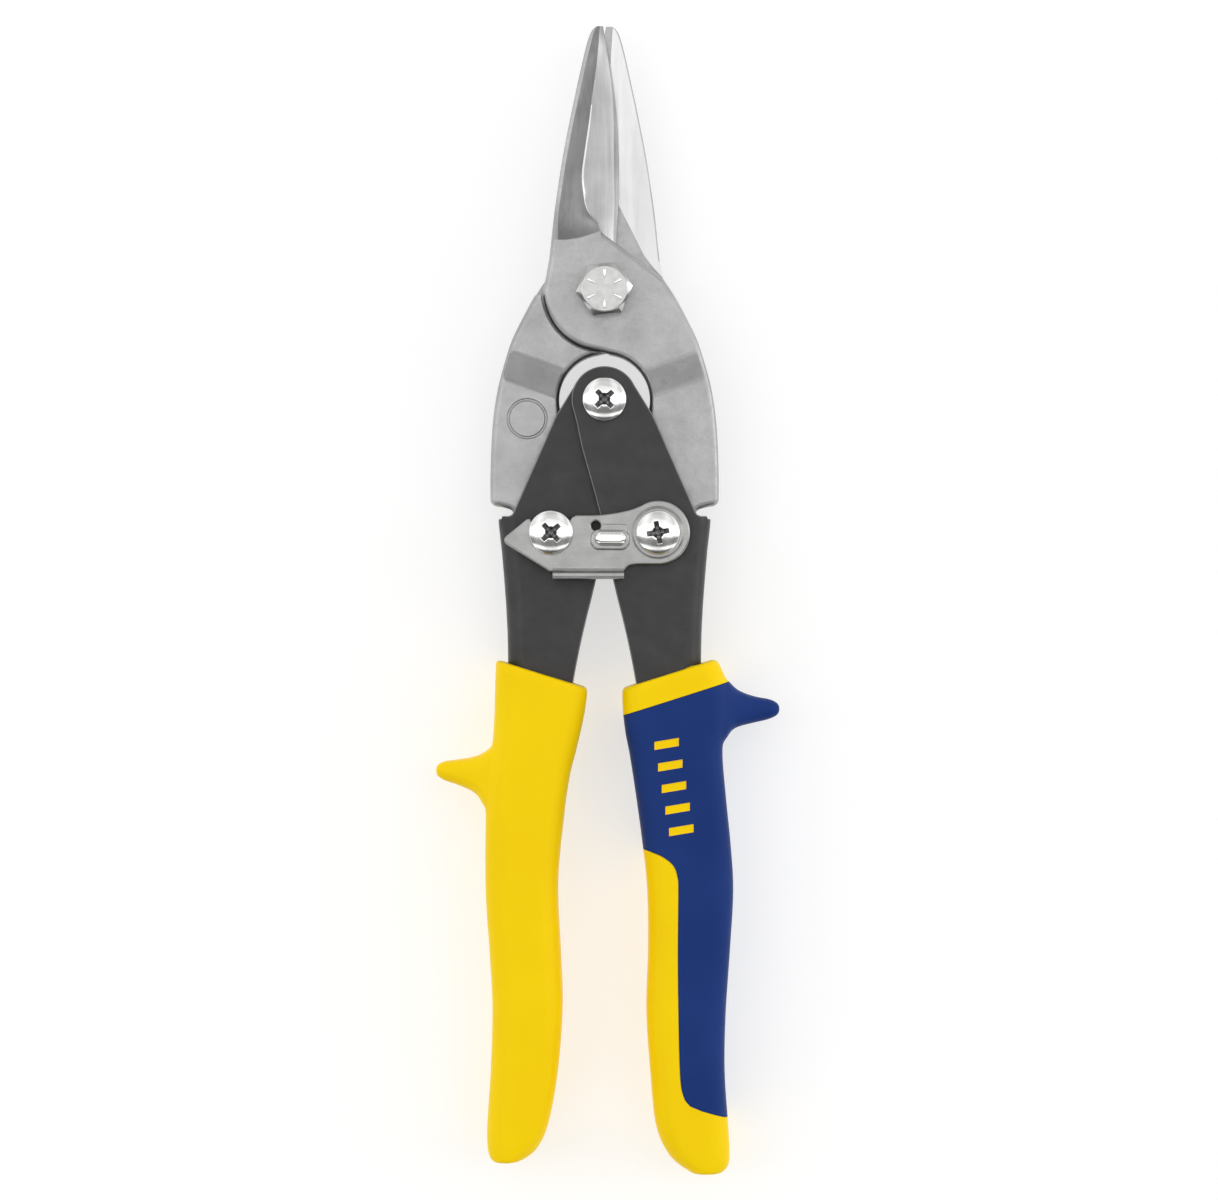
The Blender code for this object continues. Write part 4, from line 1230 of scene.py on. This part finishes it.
LEFT_GRIP = [
    ((-24.0, -81.9), (-3.7, -88.2)),
    ((-24.2, -88.0), (-4.3, -93.0)),
    ((-24.4, -95.0), (-5.3, -98.0)),
    ((-24.9, -101.5), (-6.5, -103.0)),
    ((-26.0, -108.0), (-7.8, -108.3)),
    ((-26.3, -117.0), (-9.0, -117.0)),
    ((-26.3, -133.0), (-10.3, -131.5)),
    ((-25.4, -147.0), (-9.7, -147.0)),
    ((-24.8, -159.0), (-9.3, -159.0)),
    ((-25.2, -173.0), (-10.3, -173.0)),
    ((-25.9, -184.0), (-12.4, -184.5)),
    ((-25.9, -189.5), (-14.8, -189.8)),
    ((-25.2, -192.2), (-17.5, -192.1)),
    ((-24.0, -193.0), (-20.0, -193.0)),
]
RIGHT_GRIP = [
    ((24.9, -81.7), (3.9, -88.3)),
    ((27.0, -87.0), (4.1, -93.5)),
    ((27.2, -94.0), (4.7, -98.5)),
    ((26.1, -101.5), (5.5, -102.5)),
    ((26.9, -112.5), (6.9, -111.5)),
    ((27.9, -122.5), (8.4, -122.5)),
    ((28.5, -133.0), (9.5, -133.0)),
    ((27.7, -147.0), (9.7, -146.0)),
    ((26.8, -160.5), (9.3, -160.0)),
    ((26.6, -173.0), (10.2, -174.0)),
    ((27.4, -185.0), (11.3, -184.5)),
    ((27.7, -191.0), (13.7, -190.5)),
    ((27.3, -194.0), (16.5, -193.5)),
    ((25.5, -195.5), (19.8, -195.5)),
]
# Thumb stops: upper edge and lower edge from inside the grip out to the tip, and half the thickness.
LEFT_STOP = [
    ((-19.0, -97.0), (-19.0, -120.0), 9.6),
    ((-25.5, -101.7), (-25.8, -115.2), 8.6),
    ((-28.5, -103.4), (-28.5, -111.6), 7.0),
    ((-33.0, -104.2), (-32.5, -109.7), 5.6),
    ((-36.0, -104.6), (-35.8, -108.6), 4.6),
    ((-37.4, -105.6), (-37.4, -107.4), 3.6),
]
RIGHT_STOP = [
    ((19.0, -83.0), (19.0, -104.0), 9.6),
    ((26.3, -85.8), (26.0, -100.3), 8.6),
    ((29.5, -88.6), (28.5, -97.3), 7.0),
    ((33.3, -90.1), (32.3, -96.1), 5.6),
    ((37.0, -90.8), (36.6, -95.1), 4.6),
    ((38.9, -91.9), (38.9, -93.9), 3.6),
]


def rounded_section(first, second, half, rounding, steps=6):
    """A section standing on the line between two plan points, with its four corners rounded."""
    first, second = Vector(first), Vector(second)
    middle = (first + second) / 2
    along = (second - first).normalized()
    reach = (second - first).length / 2
    rounding = min(rounding, reach - 0.1, half - 0.1)
    section = []
    for start, side, level in ((0, 1, 1), (90, -1, 1), (180, -1, -1), (270, 1, -1)):
        centre = (side * (reach - rounding), level * (half - rounding))
        for across, z in arc(centre, rounding, start, start + 90, steps):
            place = middle + along * across
            section.append((place.x, place.y, z))
    return section


def soft_loft(name, stations, rounding, inset_by, looks):
    """A smooth loft through rounded sections; each station is (x, y, x, y, half thickness)."""
    rings = []
    for x1, y1, x2, y2, half in curve_through(stations, 6):
        first, second = Vector((x1, y1)), Vector((x2, y2))
        along = (second - first).normalized() * inset_by
        rings.append(rounded_section(first + along, second - along, half - inset_by, rounding - inset_by))
    return loft(name, rings, looks)


def grip_stations(table):
    return [(*first, *second, GRIP_HALF) for first, second in table]


def stop_stations(table):
    return [(*first, *second, half) for first, second, half in table]


def grip_body(name, grip_table, stop_table, looks):
    """The whole grip with its thumb stop, melted together and softened."""
    body = soft_loft(name, grip_stations(grip_table), GRIP_ROUND, 0.0, looks)
    join(body, soft_loft(name + "_stop", stop_stations(stop_table), 2.4, 0.0, looks))
    settle(body)
    remesh = body.modifiers.new("skin", "REMESH")
    remesh.mode = "VOXEL"
    remesh.voxel_size = 0.6
    smooth = body.modifiers.new("soften", "SMOOTH")
    smooth.factor = 0.5
    smooth.iterations = 10
    settle(body)
    body.data.materials.clear()
    for look in looks:
        body.data.materials.append(look)
    return body


def handle_pocket():
    """The space the right channel fills in a grip, with clearance, open at the grip's mouth."""
    inner_side = [(y, x) for x, y in reversed(FLANGE_INNER)]
    rings = []
    for step in range(25):
        y = -70.0 + (HANDLE_END - 1.0 + 70.0) * step / 24
        inner = read_curve(inner_side, y) - GRIP_CLEARANCE
        section = channel_section(read_curve(CHANNEL_SIDE, y), inner, GRIP_CLEARANCE, 8)
        rings.append([(x, y, z) for x, z in section])
    return loft("handle_pocket", rings, (YELLOW,))


def left_grip():
    body = grip_body("left_grip_skin", LEFT_GRIP, LEFT_STOP, (YELLOW,))
    pocket = handle_pocket()
    pocket.data.transform(Matrix.Rotation(math.pi, 4, "Y"))
    cut(body, pocket)
    ride_with(settle(body), "left_grip", 45.0)


def cover_outline(grow):
    """Where the blue cover lies, seen from the front; it runs past the grip's outer side."""
    top = [(0.0, -95.5 + grow), (27.0, -86.9 + grow), (45.0, -81.5 + grow)]
    bottom = [(45.0, -183.0 - grow), (26.5, -182.8 - grow), (21.4, -181.3 - grow)]
    turn_in = [(18.9 - grow, -180.3), (17.4 - grow, -178.0), (16.6 - grow, -172.0)]
    side = [(16.2 - grow, -150.0), (16.3 - grow, -133.0), (16.1 - grow, -129.8)]
    turn_out = [(15.2 - grow, -127.3), (12.8 - grow, -125.3 - grow), (9.6, -124.0 - grow)]
    return top + bottom + curve_through(turn_in + side + turn_out, 4) + [(0.0, -121.5 - grow)]


def stripe_motif():
    """Plain slanted bars, sunk a little into the cover's front face."""
    bars = []
    for step in range(5):
        along = 19.0 * step / 4
        centre = Vector((13.7 + 0.17 * along, -100.4 - along))
        outline = [(-2.7, -1.35), (2.7, -0.45), (2.7, 1.35), (-2.7, 0.45)]
        outline = [(centre.x + x, centre.y + y) for x, y in outline]
        bars.append(plate("stripe", outline, GRIP_HALF - 0.16, GRIP_HALF + 2.0, looks=(YELLOW,)))
    return bars


def right_grip():
    looks = (YELLOW,)
    body = grip_body("right_grip_skin", RIGHT_GRIP, RIGHT_STOP, looks)
    cover = copy_of(body, "cover_skin")
    inner = COVER_DEPTH + SEAM
    stations = grip_stations(RIGHT_GRIP[:-2])
    cut(body, plate("cover_space", cover_outline(SEAM / 2), -20.0, 20.0, looks=looks))
    settle(body)
    join(body, soft_loft("right_grip_bed", stations, GRIP_ROUND, inner, looks))
    cut(settle(body), handle_pocket())
    ride_with(settle(body), "right_grip", 45.0)
    cover.data.materials.clear()
    cover.data.materials.append(BLUE)
    combine(cover, plate("cover_area", cover_outline(-SEAM / 2), -20.0, 20.0, looks=(BLUE,)), "INTERSECT")
    settle(cover)
    cut(cover, soft_loft("cover_bed", stations, GRIP_ROUND, COVER_DEPTH, (BLUE,)))
    settle(cover)
    cut(cover, *stripe_motif())
    ride_with(settle(cover), "right_grip_overmould", 45.0)


# Studio.


def camera():
    """Straight down on the front face, from a distance, with the tips up."""
    width_seen = 0.2706
    height = 1.3
    aim = (0.0002, -0.0003)  # the middle of the view, beside the tool's own middle
    data = bpy.data.cameras.new("camera")
    data.sensor_width = 36.0
    data.lens = data.sensor_width * height / width_seen
    obj = bpy.data.objects.new("camera", data)
    obj.location = (*aim, ORIGIN.z + height)
    bpy.context.scene.collection.objects.link(obj)
    bpy.context.scene.camera = obj


def softbox(name, place, target, size, power):
    data = bpy.data.lights.new(name, "AREA")
    data.shape = "RECTANGLE"
    data.size, data.size_y = size
    data.energy = power
    obj = bpy.data.objects.new(name, data)
    obj.location = place
    obj.rotation_euler = (Vector(target) - Vector(place)).to_track_quat("-Z", "Y").to_euler()
    bpy.context.scene.collection.objects.link(obj)


def floor():
    """A lit table: pale, and glowing a little so that shadows stay soft."""
    bm = bmesh.new()
    bmesh.ops.create_grid(bm, x_segments=1, y_segments=1, size=6.0)
    n = Nodes("floor_paint")
    n.constant(Roughness=0.9, Emission_Color=(1.0, 1.0, 1.0, 1.0), Emission_Strength=0.6)
    n.colour(n.mix(n.noise(3.0), (0.44, 0.44, 0.44), (0.46, 0.46, 0.46)))
    obj = add_object("floor", mesh_from("floor", bm, (n.material,)))
    obj.location.z = CAD_LOW.z - 0.0002


def ramp(tree, source, stops):
    """A brightness that runs through (place, value) stops."""
    node = tree.nodes.new("ShaderNodeValToRGB")
    node.color_ramp.interpolation = "EASE"
    elements = node.color_ramp.elements
    while len(elements) < len(stops):
        elements.new(0.5)
    for element, (place, value) in zip(elements, stops):
        element.position = (place + 1) / 2
        element.color = (value, value, value, 1.0)
    tree.links.new(source, node.inputs["Fac"])
    return node.outputs["Color"]


def room():
    """A room whose brightness runs in soft bands across X and along Y, with dark strips towards -Y."""
    world = bpy.data.worlds.new("room")
    world.use_nodes = True
    tree = world.node_tree
    direction = tree.nodes.new("ShaderNodeTexCoord").outputs["Generated"]
    halved = tree.nodes.new("ShaderNodeVectorMath")
    halved.operation = "MULTIPLY_ADD"
    halved.inputs[1].default_value = (0.5, 0.5, 0.5)
    halved.inputs[2].default_value = (0.5, 0.5, 0.5)
    tree.links.new(direction, halved.inputs[0])
    split = tree.nodes.new("ShaderNodeSeparateXYZ")
    tree.links.new(halved.outputs["Vector"], split.inputs["Vector"])
    across = [(-1.0, 1.0), (-0.8, 1.1), (-0.45, 1.5), (-0.12, 0.9), (0.12, 0.9)]
    across += [(0.4, 1.35), (0.62, 1.0), (0.85, 1.4), (1.0, 1.4)]
    along = [(-1.0, 0.12), (-0.75, 0.15), (-0.65, 1.1), (-0.54, 1.2), (-0.46, 0.2), (-0.2, 0.24)]
    along += [(-0.08, 1.35), (0.18, 1.35), (0.34, 0.75), (0.62, 0.8), (0.85, 0.65), (1.0, 0.8)]
    both = tree.nodes.new("ShaderNodeVectorMath")
    both.operation = "MULTIPLY"
    tree.links.new(ramp(tree, split.outputs["X"], across), both.inputs[0])
    tree.links.new(ramp(tree, split.outputs["Y"], along), both.inputs[1])
    tree.links.new(both.outputs["Vector"], tree.nodes["Background"].inputs["Color"])
    tree.nodes["Background"].inputs["Strength"].default_value = 1.0
    bpy.context.scene.world = world


def studio():
    camera()
    floor()
    room()
    softbox("overhead", (0.1, 0.6, 2.1), (0.0, 0.0, 0.0), (1.2, 0.9), 1.2)
    softbox("right_key", (2.0, 0.4, 0.7), (0.0, 0.0, 0.0), (0.9, 0.5), 2.0)
    bpy.context.scene.view_settings.view_transform = "Standard"


def build():
    jaws()
    handles()
    fasteners()
    latch()
    spring()
    left_grip()
    right_grip()
    studio()


build()
